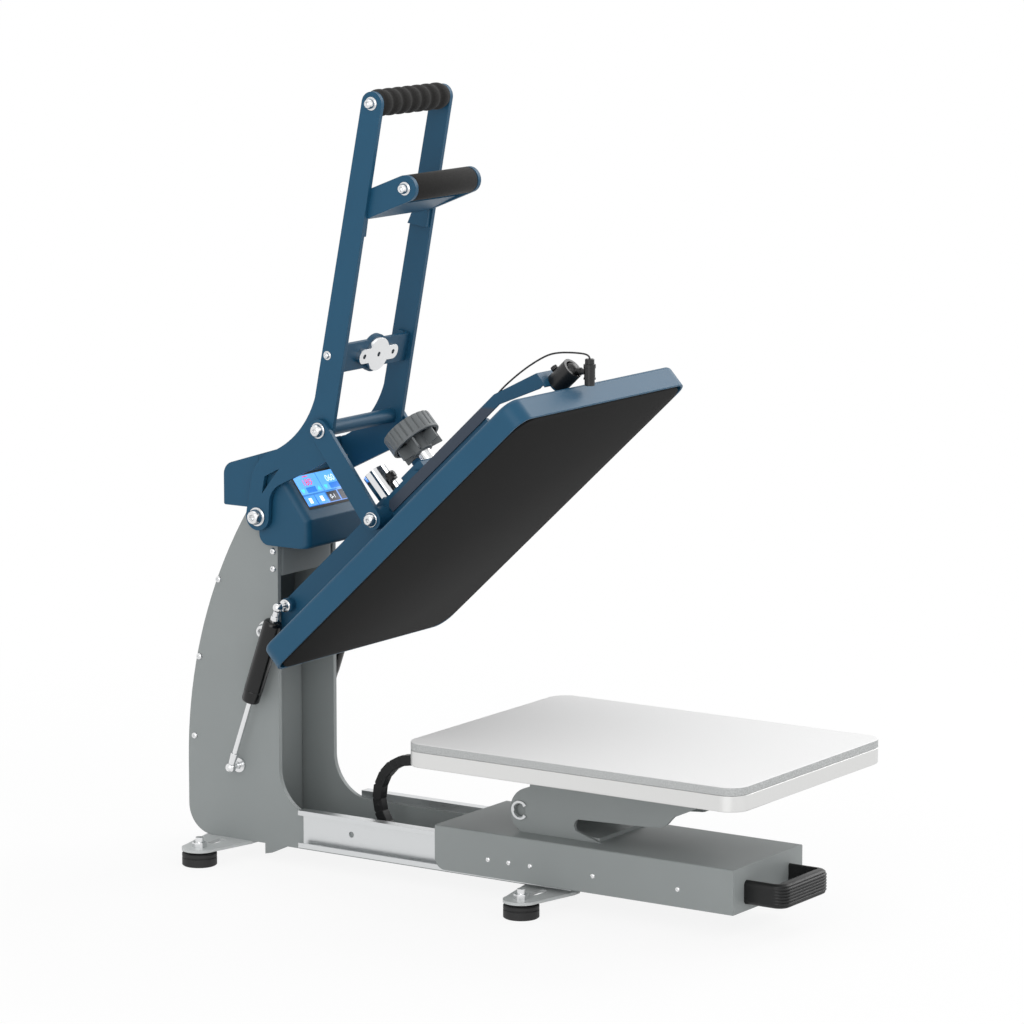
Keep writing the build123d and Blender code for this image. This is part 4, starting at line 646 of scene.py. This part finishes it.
def makeSprings():
    spring = {"out": 66, "lowerBall": (289.5, 96.4), "upperBall": headPoint(0, 39.5, 2.9)[1:],
              "ball": 5.4, "socket": 5.6}
    lean = (0, spring["upperBall"][0] - spring["lowerBall"][0], spring["upperBall"][1] - spring["lowerBall"][1])
    length = math.hypot(lean[1], lean[2])
    tube = [(76, 3.1), (76, 7.6), (76.6, 8.6), (78, 9.3), (88.4, 9.5), (88.8, 9.1), (89.4, 9.1), (89.8, 9.75),
            (162.6, 9.75), (165.2, 9.3), (166.6, 8), (167, 6.4), (167, 0)]
    ball = [polar(1, 12 * k) for k in range(3, 16)]
    fitting = [(166.5, 0), (166.5, 4.2), (length - 9.5, 4.2), (length - 9.2, 3.4), (length - 5, 3.2)]
    fitting += [(length - spring["ball"] * c, spring["ball"] * r) for c, r in ball]
    stud = [(52.3, 0), (52.3, 6.4), (54.4, 6.4), (54.9, 5.2), (57, 5.2), (57.4, 2.6), (66, 2.6), (66, 0)]
    rod = [(-spring["socket"] * c, spring["socket"] * r) for c, r in reversed(ball)][:-1]
    rod += [(5.6, 3.6), (15, 4.2), (16.5, 4.2), (17, 2.9), (140, 2.9), (140, 0)]
    tubes, fittings, rods = bmesh.new(), bmesh.new(), bmesh.new()
    for side in (-1, 1):
        place = placeAt((side * spring["out"], *spring["lowerBall"]), lean)
        spun(tubes, tube, place, steps=48)
        spun(fittings, fitting, place, steps=36)
        spun(rods, rod, place, steps=36)
        spun(fittings, stud, sideways(*spring["upperBall"], side), steps=36)
    finishPiece(tubes, "springTubes", glossBlack, "gas_cylinders", replaced=["spring_cylinders"])
    finishPiece(rods, "springRods", polishedChrome, "gas_rods", replaced=["spring_rods"])
    finishPiece(fittings, "springFittings", polishedChrome, "gas_cylinders",
                replaced=["spring_cylinders"])


makeSprings()
print("gas springs made")


# Pan, heating plate and knob

def makePan():
    pan = {"width": 298, "depth": 405, "bottom": -67.4, "top": -42.5, "front": 17, "rear": 17, "fromPivot": 47.7,
           "sheet": 2.5, "bend": 5, "recess": 2, "ceiling": -49}
    plate = {"width": 292.6, "depth": 399.6, "bottom": -68.4, "thick": 17, "front": 24, "rear": 24, "edge": 1.0}
    place = placeAt(headPoint(0, pan["fromPivot"] + pan["depth"] / 2, 0), squareToHead)
    sheet, bend = pan["sheet"], pan["bend"]

    def ring(part, inset, height):
        return roundedRect(part["width"], part["depth"], part["front"], part["rear"], inset), height

    rings = [ring(pan, sheet, pan["ceiling"]), ring(pan, sheet, pan["bottom"] + 0.4),
             ring(pan, sheet - 0.4, pan["bottom"]), ring(pan, 0.4, pan["bottom"]),
             ring(pan, 0, pan["bottom"] + 0.4)]
    for k in range(6):
        x, y = polar(bend, 18 * k)
        rings.append(ring(pan, bend - x, pan["top"] - bend + y))
    rings += [ring(pan, bend + 3, pan["top"]), ring(pan, bend + 4, pan["top"] - pan["recess"])]
    bm = bmesh.new()
    stacked(bm, rings, place)
    levelFlats(finishPiece(bm, "pan", bluePaint, "upper_platen", 40, ["upper_housing"]))

    bm = bmesh.new()
    stacked(bm, [ring(plate, plate["edge"], plate["bottom"]), ring(plate, 0.3, plate["bottom"] + 0.3),
                 ring(plate, 0, plate["bottom"] + plate["edge"]), ring(plate, 0, plate["bottom"] + plate["thick"])],
            place)
    finishPiece(bm, "heatingPlate", nonStick, "upper_platen", 40, ["heating_plate"])


def makeKnob():
    knob = {"fromPivot": 247, "radius": 26.9, "low": 43, "high": 62.5, "lobes": 23, "groove": 1.5,
            "stepsPerLobe": 12, "wall": 3.4, "hub": 10.5, "hubLow": 30, "cavity": 57, "spokes": 6, "spokeThick": 2,
            "spokeHigh": 13}
    count = knob["lobes"] * knob["stepsPerLobe"]

    def circle(radius):
        return [polar(radius, 360 * k / count) for k in range(count)]

    def lobed(shrink):
        grooves = [max(0, math.cos(2 * math.pi * knob["lobes"] * k / count)) ** 3 for k in range(count)]
        return [polar(knob["radius"] - shrink - knob["groove"] * groove, 360 * k / count)
                for k, groove in enumerate(grooves)]

    r, low, high, inside = knob["radius"], knob["low"], knob["high"], knob["radius"] - knob["wall"]
    rings = [(lobed(1.6), high), (lobed(0.5), high - 0.4), (lobed(0), high - 1.4), (lobed(0), low + 3.2),
             (circle(r), low + 2.6), (circle(r), low + 0.6), (circle(r - 0.6), low), (circle(inside), low),
             (circle(inside - 0.3), knob["cavity"]), (circle(knob["hub"] + 0.3), knob["cavity"]),
             (circle(knob["hub"]), knob["hubLow"] + 0.5), (circle(knob["hub"] - 0.6), knob["hubLow"])]
    bm = bmesh.new()
    place = placeAt(headPoint(0, knob["fromPivot"], 0), squareToHead)
    stacked(bm, rings, place)
    spoke = rect(0, 0, inside - knob["hub"] + 1.5, knob["spokeHigh"])
    for k in range(knob["spokes"]):
        x, y = polar(1, 30 + 360 * k / knob["spokes"])
        outwards, across = place.to_3x3() @ Vector((x, y, 0)), place.to_3x3() @ Vector((-y, x, 0))
        spot = Vector(headPoint(0, knob["fromPivot"], low + 1.5)) + (knob["hub"] - 1) * outwards
        slab(bm, spoke, knob["spokeThick"], placeAt(spot - knob["spokeThick"] / 2 * across, across, outwards))
    finishPiece(bm, "pressureKnob", nylonGray, "knob", 40, ["pressure_knob"])


makePan()
makeKnob()
print("pan, heating plate and knob made")


# Drag chain: links riveted together, from the base round the bend to the pedestal

def makeChain():
    chain = {"anchor": 64.5, "bend": 107.4, "low": 27.5, "high": 114, "end": 26, "pitch": 13.4, "height": 10.5,
             "width": 11, "rivet": 2.1, "lap": 0.45}
    low, high, bend = chain["low"], chain["high"], chain["bend"]
    radius = (high - low) / 2
    lowRun, turnRun, highRun = bend - chain["anchor"], math.pi * radius, bend - chain["end"]
    length = lowRun + turnRun + highRun
    count = round(length / chain["pitch"])

    def spotAt(distance):  # y, z and heading along the chain
        if distance < lowRun:
            return chain["anchor"] + distance, low, 0
        if distance < lowRun + turnRun:
            turn = (distance - lowRun) / radius
            return bend + radius * math.sin(turn), (high + low) / 2 - radius * math.cos(turn), turn
        return bend - (distance - lowRun - turnRun), high, math.pi

    h, w, p = chain["height"] / 2, chain["width"] / 2, length / count / 2
    outline = [(-p - 1, -h + 2.2), (-p + 1.4, -h), (p + 0.4, -h), (p + 1, -h + 1.2),
               (p + 1, h - 1.2), (p + 0.4, h), (-p + 1.4, h), (-p - 1, h - 2.2)]
    rivet = [(0, 0), (0, chain["rivet"]), (0.45, chain["rivet"] - 0.4), (0.45, 0)]
    bm = bmesh.new()
    for k in range(count):
        y, z, turn = spotAt((2 * k + 1) * p)
        half = w - chain["lap"] * (k % 2)  # every second link is slightly narrower, so their ends can overlap
        slab(bm, outline, 2 * half, placeAt((-half, y, z), (1, 0, 0), (0, math.cos(turn), math.sin(turn))), 0.4, 1)
        for side in (-1, 1):
            spun(bm, rivet, sideways(y, z, side, w - 0.5), steps=10)
    piece = finishPiece(bm, "dragChain", chainBlack, None, 30, ["drag_chain"])
    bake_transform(piece)


makeChain()
print("drag chain made")


# Laser sight: barrel in its ball, clamp screw and the lead into the arm

laser = {"x": -26, "ball": 7.5, "ahead": 22, "below": 13, "tall": 26, "neckAhead": 18}
laserBall = headPoint(laser["x"], 454, -26.8)
barrelLow = (laserBall[0], laserBall[1] - laser["ahead"], laserBall[2] - laser["below"])


def makeLaser():
    tall = laser["tall"]
    barrel = [(0, 0), (0, 2.4), (0.6, 2.4), (0.6, 4.4), (0, 4.7), (0, 5), (6, 5), (6, 6), (7.6, 6), (7.6, 5.4),
              (17, 5.4), (17, 6), (20.6, 6), (21, 4.6), (tall - 0.6, 4.6), (tall, 4), (tall, 0)]
    neck = [(0, 0), (0, 3), (5.4, 3), (5.4, 3.5), (5.7, 3.8), (6.9, 3.8), (7.2, 3.5), (7.2, 3), (12, 3), (12, 0)]
    ball = [polar(laser["ball"], 180 - 12 * k) for k in range(16)]
    bm = bmesh.new()
    spun(bm, barrel, placeAt(barrelLow, (0, 0, 1)), steps=32)
    spun(bm, ball, placeAt(laserBall, (0, 1, 0)), steps=32)
    spun(bm, neck, placeAt((laserBall[0], laserBall[1] - laser["neckAhead"], laserBall[2]), (0, 1, 0)), steps=28)
    finishPiece(bm, "laserBarrel", absBlack, "laser", 40, ["laser_barrel"])


def makeClampScrew():
    screw = {"fromPivot": 441, "seat": -15.8, "radius": 3.6, "height": 4.2, "notches": 6, "notch": 0.35,
             "shank": 2}
    place = placeAt(headPoint(laser["x"], screw["fromPivot"], screw["seat"]), squareToHead)
    count = screw["notches"] * 6
    outline = [polar(screw["radius"] - screw["notch"] * (k % 6 < 2), 360 * k / count) for k in range(count)]
    narrow = [(0.88 * x, 0.88 * y) for x, y in outline]
    bm = bmesh.new()
    stacked(bm, [(narrow, 0.2), (outline, 0.8), (outline, screw["height"] - 0.6), (narrow, screw["height"])], place)
    spun(bm, [(-3, 0), (-3, screw["shank"]), (0.4, screw["shank"]), (0.4, 0)], place, steps=16)
    finishPiece(bm, "clampScrew", absBlack, "clamp_knob", 30, ["clamp_screw"])


def makeLead():
    lead = {"diameter": 1.8, "rise": 4}
    top = (barrelLow[0], barrelLow[1], barrelLow[2] + laser["tall"])
    route = [top, (top[0], top[1], top[2] + lead["rise"])]
    route += [headPoint(*spot) for spot in (
        (-27, 470.5, -17.6), (-28, 454, -4.2), (-29.5, 440, 1.7), (-31, 410, 7), (-34, 372, 7.7),
        (-35, 343, -4), (-35, 334, -16), (-35, 334, -27.9))]
    curve = bpy.data.curves.new("leadRoute", "CURVE")
    curve.dimensions = "3D"
    line = curve.splines.new("NURBS")
    line.points.add(len(route) - 1)
    for point, spot in zip(line.points, route):
        point.co = (*[mm(value) for value in spot], 1)
    line.order_u = 3
    line.use_endpoint_u = True
    line.resolution_u = 8
    holder = addObject("leadRoute", curve)
    path = [tuple(vert.co) for vert in plainMesh(holder).vertices]
    curve.bevel_depth = mm(lead["diameter"] / 2)
    curve.bevel_resolution = 4
    curve.use_fill_caps = True
    bm = bmesh.new()
    bm.from_mesh(plainMesh(holder))
    bpy.data.objects.remove(holder)
    piece = finishPiece(bm, "laserLead", pvcBlack, None, 60, ["laser_lead"])
    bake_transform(piece)


makeLaser()
makeClampScrew()
makeLead()
print("laser made")


# Screen: a lit panel with figures, behind its frame

def makeScreen():
    screen = {"y": 198.5, "z": 357.5, "lean": math.radians(52.9), "left": -40, "right": 40, "low": 14, "high": 49.9,
              "rimLow": 3, "rimHigh": 1.6, "rimDepth": 4.7, "layer": 0.04}
    left, right, low, high = (screen[side] for side in ("left", "right", "low", "high"))
    c, t = math.cos(screen["lean"]), math.sin(screen["lean"])
    outwards, upwards = Vector((0, -t, c)), Vector((0, c, t))
    corner = Vector((0, screen["y"], screen["z"]))
    bm = bmesh.new()
    slab(bm, rect(left, low, right, high), 3, placeAt(corner - 4 * outwards, outwards))
    finishPiece(bm, "screenPanel", panelLight, "frame", 30, ["lcd_screen"])

    bm = bmesh.new()
    outer = (left - screen["rimLow"], low - screen["rimLow"], right + screen["rimHigh"], high + screen["rimHigh"])
    for strip in ((outer[0], outer[1], left, outer[3]), (right, outer[1], outer[2], outer[3]),
                  (left, outer[1], right, low), (left, high, right, outer[3])):
        slab(bm, rect(*strip), screen["rimDepth"], placeAt(corner - 5 * outwards, outwards))
    finishPiece(bm, "screenBezel", rubberBlack, "frame", 30, ["screen_bezel"])

    # material, fields (left, low, width, height), arrows (x, y, up or down), figures (text, height, x, y)
    layers = {
        "Pale": (litFigures("litFieldPale", "63AEFB", 0.85), [(-40, 28.4, 78.6, 21)], [], []),
        "Blue": (litFigures("litFieldBlue", "2F7FE0", 0.7),
                 [(-28, 29.2, 16, 6.4), (11, 29.2, 16, 6.4), (-1.8, 28.4, 0.8, 21)], [], []),
        "Cell": (litFigures("litFieldSky", "4C9AF5", 0.8),
                 [(-39.6, 15.2, 17.2, 11), (-20.8, 15.2, 17.2, 11)], [], []),
        "Dark": (litFigures("unlitFieldDark", "0B1430", 0.2),
                 [(-1.6, 15.2, 17.6, 11), (18.4, 15.2, 17.6, 11)], [], []),
        "Aqua": (litFigures("litFiguresAqua", "4FE3F2", 0.9), [],
                 [(-34, 32.4, -1), (-7, 32.6, 1), (4.6, 32.4, -1), (33, 32.6, 1)], []),
        "Red": (litFigures("litFiguresRed", "EE2450", 0.95), [(-24, 47.4, 9, 1)], [],
                [("180", 7.4, -29.4, 37.6), ("C", 3.6, -15.2, 40.8)]),
        "White": (litFigures("litFiguresWhite", "F2F8FF", 0.9), [(-33.6, 17.6, 5, 6), (-14.6, 17.6, 5, 6)], [],
                  [("060", 7, 10, 37.6), ("0-1", 4.8, 1.8, 18.2), ("2", 4.8, 26, 18.2)])}
    for order, (ink, (material, fields, arrows, figures)) in enumerate(layers.items()):
        bm = bmesh.new()
        face = corner + (screen["layer"] * order - 0.95) * outwards
        for x, y, width, height in fields:
            flatFace(bm, rect(x, y, x + width, y + height))
        for x, y, up in arrows:
            flatFace(bm, [(x - 2.6, y - 2 * up), (x + 2.6, y - 2 * up), (x, y + 2.6 * up)])
        bmesh.ops.transform(bm, matrix=placeAt(face, outwards), verts=bm.verts)
        for text, height, x, y in figures:
            font = bpy.data.curves.new("figure", "FONT")
            font.body = text
            font.size = mm(height / 0.7)  # a figure is about 0.7 of its font's size
            holder = addObject("figure", font)
            flat = plainMesh(holder)
            bpy.data.objects.remove(holder)
            flat.transform(placeAt(face + Vector((x, 0, 0)) + y * upwards, outwards))
            bm.from_mesh(flat)
        finishPiece(bm, "screen" + ink, material, "frame", 30)


makeScreen()
print("screen made")


# Control housing and its rear cover: rounded shells with their windows

def cutWindow(bm, origin, xAxis, yAxis, low, high, depth):
    # sinks the rectangle low..high of the flat face through origin; all in millimetres
    xAxis, yAxis = Vector(xAxis), Vector(yAxis)
    normal = xAxis.cross(yAxis)
    origin = Vector(origin) / 1000

    def onFace():
        return [face for face in bm.faces if abs((face.calc_center_median() - origin).dot(normal)) < mm(0.05)
                and abs(face.normal.dot(normal)) > 0.999]

    for axis, value in ((xAxis, low[0]), (xAxis, high[0]), (yAxis, low[1]), (yAxis, high[1])):
        faces = onFace()
        edges = {edge for face in faces for edge in face.edges}
        verts = {vert for face in faces for vert in face.verts}
        bmesh.ops.bisect_plane(bm, geom=[*verts, *edges, *faces], dist=1e-7, plane_co=origin + axis * mm(value),
                               plane_no=axis)
        bm.normal_update()
    inside = []
    for face in onFace():
        spot = (face.calc_center_median() - origin) * 1000
        if low[0] < spot.dot(xAxis) < high[0] and low[1] < spot.dot(yAxis) < high[1]:
            inside.append(face)
    made = bmesh.ops.extrude_face_region(bm, geom=inside)
    sunk = [item for item in made["geom"] if isinstance(item, bmesh.types.BMVert)]
    bmesh.ops.translate(bm, vec=-normal * mm(depth), verts=sunk)
    bmesh.ops.delete(bm, geom=[face for face in inside if face.is_valid], context="FACES")


def roundCorners(points, radii, steps=5):  # a polygon with some corners rounded; radii by corner number
    rounded = []
    for k, point in enumerate(points):
        if k not in radii:
            rounded.append(point)
            continue
        corner = Vector((*point, 0))
        before = (Vector((*points[k - 1], 0)) - corner).normalized()
        after = (Vector((*points[(k + 1) % len(points)], 0)) - corner).normalized()
        half = before.angle(after) / 2
        reach = radii[k] / math.tan(half)
        middle = corner + (before + after).normalized() * (radii[k] / math.sin(half))
        start, end = corner + before * reach - middle, corner + after * reach - middle
        for step in range(steps + 1):
            spot = middle + start.lerp(end, step / steps).normalized() * radii[k]
            rounded.append((spot.x, spot.y))
    return rounded


def makePod():
    pod = {"half": 55, "front": 198.5, "bottom": 328, "frontHeight": 357.5, "top": 426.8, "split": 259,
           "lip": 236.5, "faceEnd": 239.5, "lean": math.radians(52.9), "slope": 0.312, "edge": 8, "steps": 6,
           "screen": ((-43.2, 10.8), (41.8, 51.7)), "screenDepth": 6}
    cover = {"front": 259.2, "back": 303, "bottom": 365, "round": 13.6, "middle": 382, "depth": 14,
             "switch": ((-21.9, -9.8), (-8.3, 9.8)), "inlet": ((8.3, -10.2), (35.7, 10.2))}
    c, t = math.cos(pod["lean"]), math.sin(pod["lean"])

    def topAt(y):  # the top slopes down towards the back
        return pod["top"] - (y - pod["lip"]) * pod["slope"]

    def podOutline(inset):  # the side outline with its front and slanted lines moved inwards
        low = pod["frontHeight"] - inset * c + inset * (1 - t) / c * t
        high = pod["frontHeight"] - inset * c + (pod["faceEnd"] - pod["front"] - inset * t) / c * t
        front, split, lip = pod["front"] + inset, pod["split"], pod["lip"]
        return roundCorners([
            (front, pod["bottom"]), (split, pod["bottom"]), (split, topAt(split)), (lip, pod["top"]),
            (lip, high + 3), (pod["faceEnd"], high), (front, low)], {0: 4, 1: 11, 6: 3})

    rings = []
    for side in (-1, 1):
        for k in range(pod["steps"] + 1):
            x, y = polar(pod["edge"], 90 * (k if side > 0 else pod["steps"] - k) / pod["steps"])
            across = side * (pod["half"] - pod["edge"] + y)
            rings.append([(across, *spot) for spot in podOutline(pod["edge"] - x)])
    bm = bmesh.new()
    loft(bm, rings)
    bmesh.ops.recalc_face_normals(bm, faces=bm.faces)
    cutWindow(bm, (0, pod["front"], pod["frontHeight"]), (1, 0, 0), (0, c, t), *pod["screen"],
              pod["screenDepth"])
    levelFlats(finishPiece(bm, "controlHousing", bluePaint, "frame", 30, ["control_housing"]))

    front, back, bottom = cover["front"], cover["back"], cover["bottom"]
    outline = roundCorners([(front, bottom), (back, bottom), (back, topAt(back)), (front, topAt(front))],
                           {1: 2, 2: cover["round"]}, 8)
    bm = bmesh.new()
    loft(bm, [[(x, *spot) for spot in outline] for x in (-pod["half"], pod["half"])])
    bmesh.ops.recalc_face_normals(bm, faces=bm.faces)
    for window in (cover["switch"], cover["inlet"]):
        cutWindow(bm, (0, back, cover["middle"]), (-1, 0, 0), (0, 0, 1), *window, cover["depth"])
    levelFlats(finishPiece(bm, "rearCover", bluePaint, "frame", 30, ["rear_cover"]))


makePod()
print("control housing made")


# Drawer handle, the magnet's plug and the pedestal

def makeBail():
    bail = {"half": 45, "front": -351, "wall": -306.4, "middle": 43, "height": 24, "leg": 6.5, "grip": 12,
            "corner": 13, "ribs": 8, "ribDepth": 1.1, "round": 5, "turns": 8, "heightSteps": 64}
    half, corner, h = bail["half"], bail["corner"], bail["height"] / 2
    reach = bail["front"] + corner
    path = [((-half, bail["wall"]), 0), ((-half, reach), 0)]  # the outside line, and how far it has turned
    for k in range(1, bail["turns"] + 1):
        a = math.radians(90 * k / bail["turns"])
        path.append(((corner - half - corner * math.cos(a), reach - corner * math.sin(a)), a))
    path += [((-x, y), math.pi - a) for (x, y), a in reversed(path)]
    rings = []
    for (x, y), a in path:
        turn = math.sin(a)
        thick = bail["leg"] + (bail["grip"] - bail["leg"]) * turn
        ring = []
        for k in range(bail["heightSteps"] + 1):
            z = -h + 2 * h * k / bail["heightSteps"]
            over = max(0, abs(z) - (h - bail["round"]))
            depth = bail["round"] - math.sqrt(bail["round"] ** 2 - over ** 2)
            rib = 0.5 - 0.5 * math.cos(2 * math.pi * bail["ribs"] * (z + h) / (2 * h))
            if over < bail["round"] * 0.9:
                depth += bail["ribDepth"] * min(1, 1.3 * turn) * (1 - rib) ** 2
            ring.append((min(depth, thick - 2), z))
        inside = [(thick - 1.6, h), (thick - 0.4, h - 0.5), (thick, h - 2)]
        ring += inside + [(d, -z) for d, z in reversed(inside)]
        rings.append([(x + d * math.cos(a), y + d * math.sin(a), bail["middle"] + z) for d, z in ring])
    bm = bmesh.new()
    loft(bm, rings)
    finishPiece(bm, "bailHandle", nylonBlack, "drawer", 50, ["drawer_handle"])


def makePlug():
    plug = {"x": -2.2, "fromPivot": 198.1, "square": 36, "width": 7, "height": 9.5, "body": 5.6, "nose": 7.4}
    place = placeAt(headPoint(plug["x"], plug["fromPivot"], plug["square"]), alongHead)
    bm = bmesh.new()
    slab(bm, roundedRect(plug["width"], plug["height"], 0.8, 0.8, steps=2), plug["body"], place, 0.4, 2)
    slab(bm, roundedRect(plug["width"] - 3, plug["height"] - 4, 0.6, 0.6, steps=2), plug["nose"], place, 0.3, 1)
    finishPiece(bm, "magnetPlug", absBlack, "head", 40, ["magnet_plug"])


def makePedestal():  # the inner channel, its pin and the two open retaining rings
    channel = {"out": 37.7, "plate": 4, "top": 144, "front": -247.1, "rear": -35.6, "tongue": 9.5, "end": 21.8}
    pin = {"y": -47.6, "z": 90.4, "lobe": 12, "radius": 6, "end": 44.8}
    clip = {"radius": 9.7, "seat": 42.3, "gap": 70, "thick": 1.2, "narrow": 2.6, "wide": 3.6}
    top, front, rear, end = (channel[side] for side in ("top", "front", "rear", "end"))
    half, web = channel["out"] - channel["plate"], top - channel["plate"]
    lobe = [polar(pin["lobe"], 180 + 12 * k) for k in range(21)]
    outline = [(-64, top), (front, top), (front, 120), (-215, 104), (-75, 104),
               *[(pin["y"] + y, pin["z"] + z) for y, z in lobe], (-59, 114)]
    bm = bmesh.new()
    for x in (-channel["out"], half):
        slab(bm, outline, channel["plate"], placeAt((x, 0, 0), (1, 0, 0), (0, 1, 0)))
    for wide, low, high, bottom in ((half, front, rear, web), (channel["tongue"], rear, end, web),
                                    (5.5, end - 3, end, 108.8)):
        slab(bm, rect(-wide, low, wide, high), top - bottom, placeAt((0, 0, bottom), (0, 0, 1)))
    finishPiece(bm, "platenChannel", steelGray, "drawer", 30, ["platen_arm"])

    bm = bmesh.new()
    rod = [(-pin["end"], 0), (-pin["end"], pin["radius"] - 0.8), (0.8 - pin["end"], pin["radius"])]
    rod += [(-x, r) for x, r in reversed(rod)]
    spun(bm, rod, placeAt((0, pin["y"], pin["z"]), (1, 0, 0)), steps=36)
    outer, inner = [], []
    for k in range(37):
        turn = 180 + clip["gap"] / 2 + (360 - clip["gap"]) * k / 36
        outer.append(polar(clip["radius"], turn))
        inner.append(polar(clip["radius"] - clip["wide" if k < 3 or k > 33 or 16 < k < 20 else "narrow"], turn))
    for x in (-clip["seat"] - clip["thick"], clip["seat"]):
        slab(bm, outer + inner[::-1], clip["thick"], placeAt((x, pin["y"], pin["z"]), (1, 0, 0), (0, 1, 0)), 0.2, 1)
    finishPiece(bm, "pedestalPin", rolledZinc, "drawer", 30, ["pedestal_pin"])


makeBail()
makePlug()
makePedestal()
print("drawer handle, magnet plug and pedestal made")

bpy.context.view_layer.update()
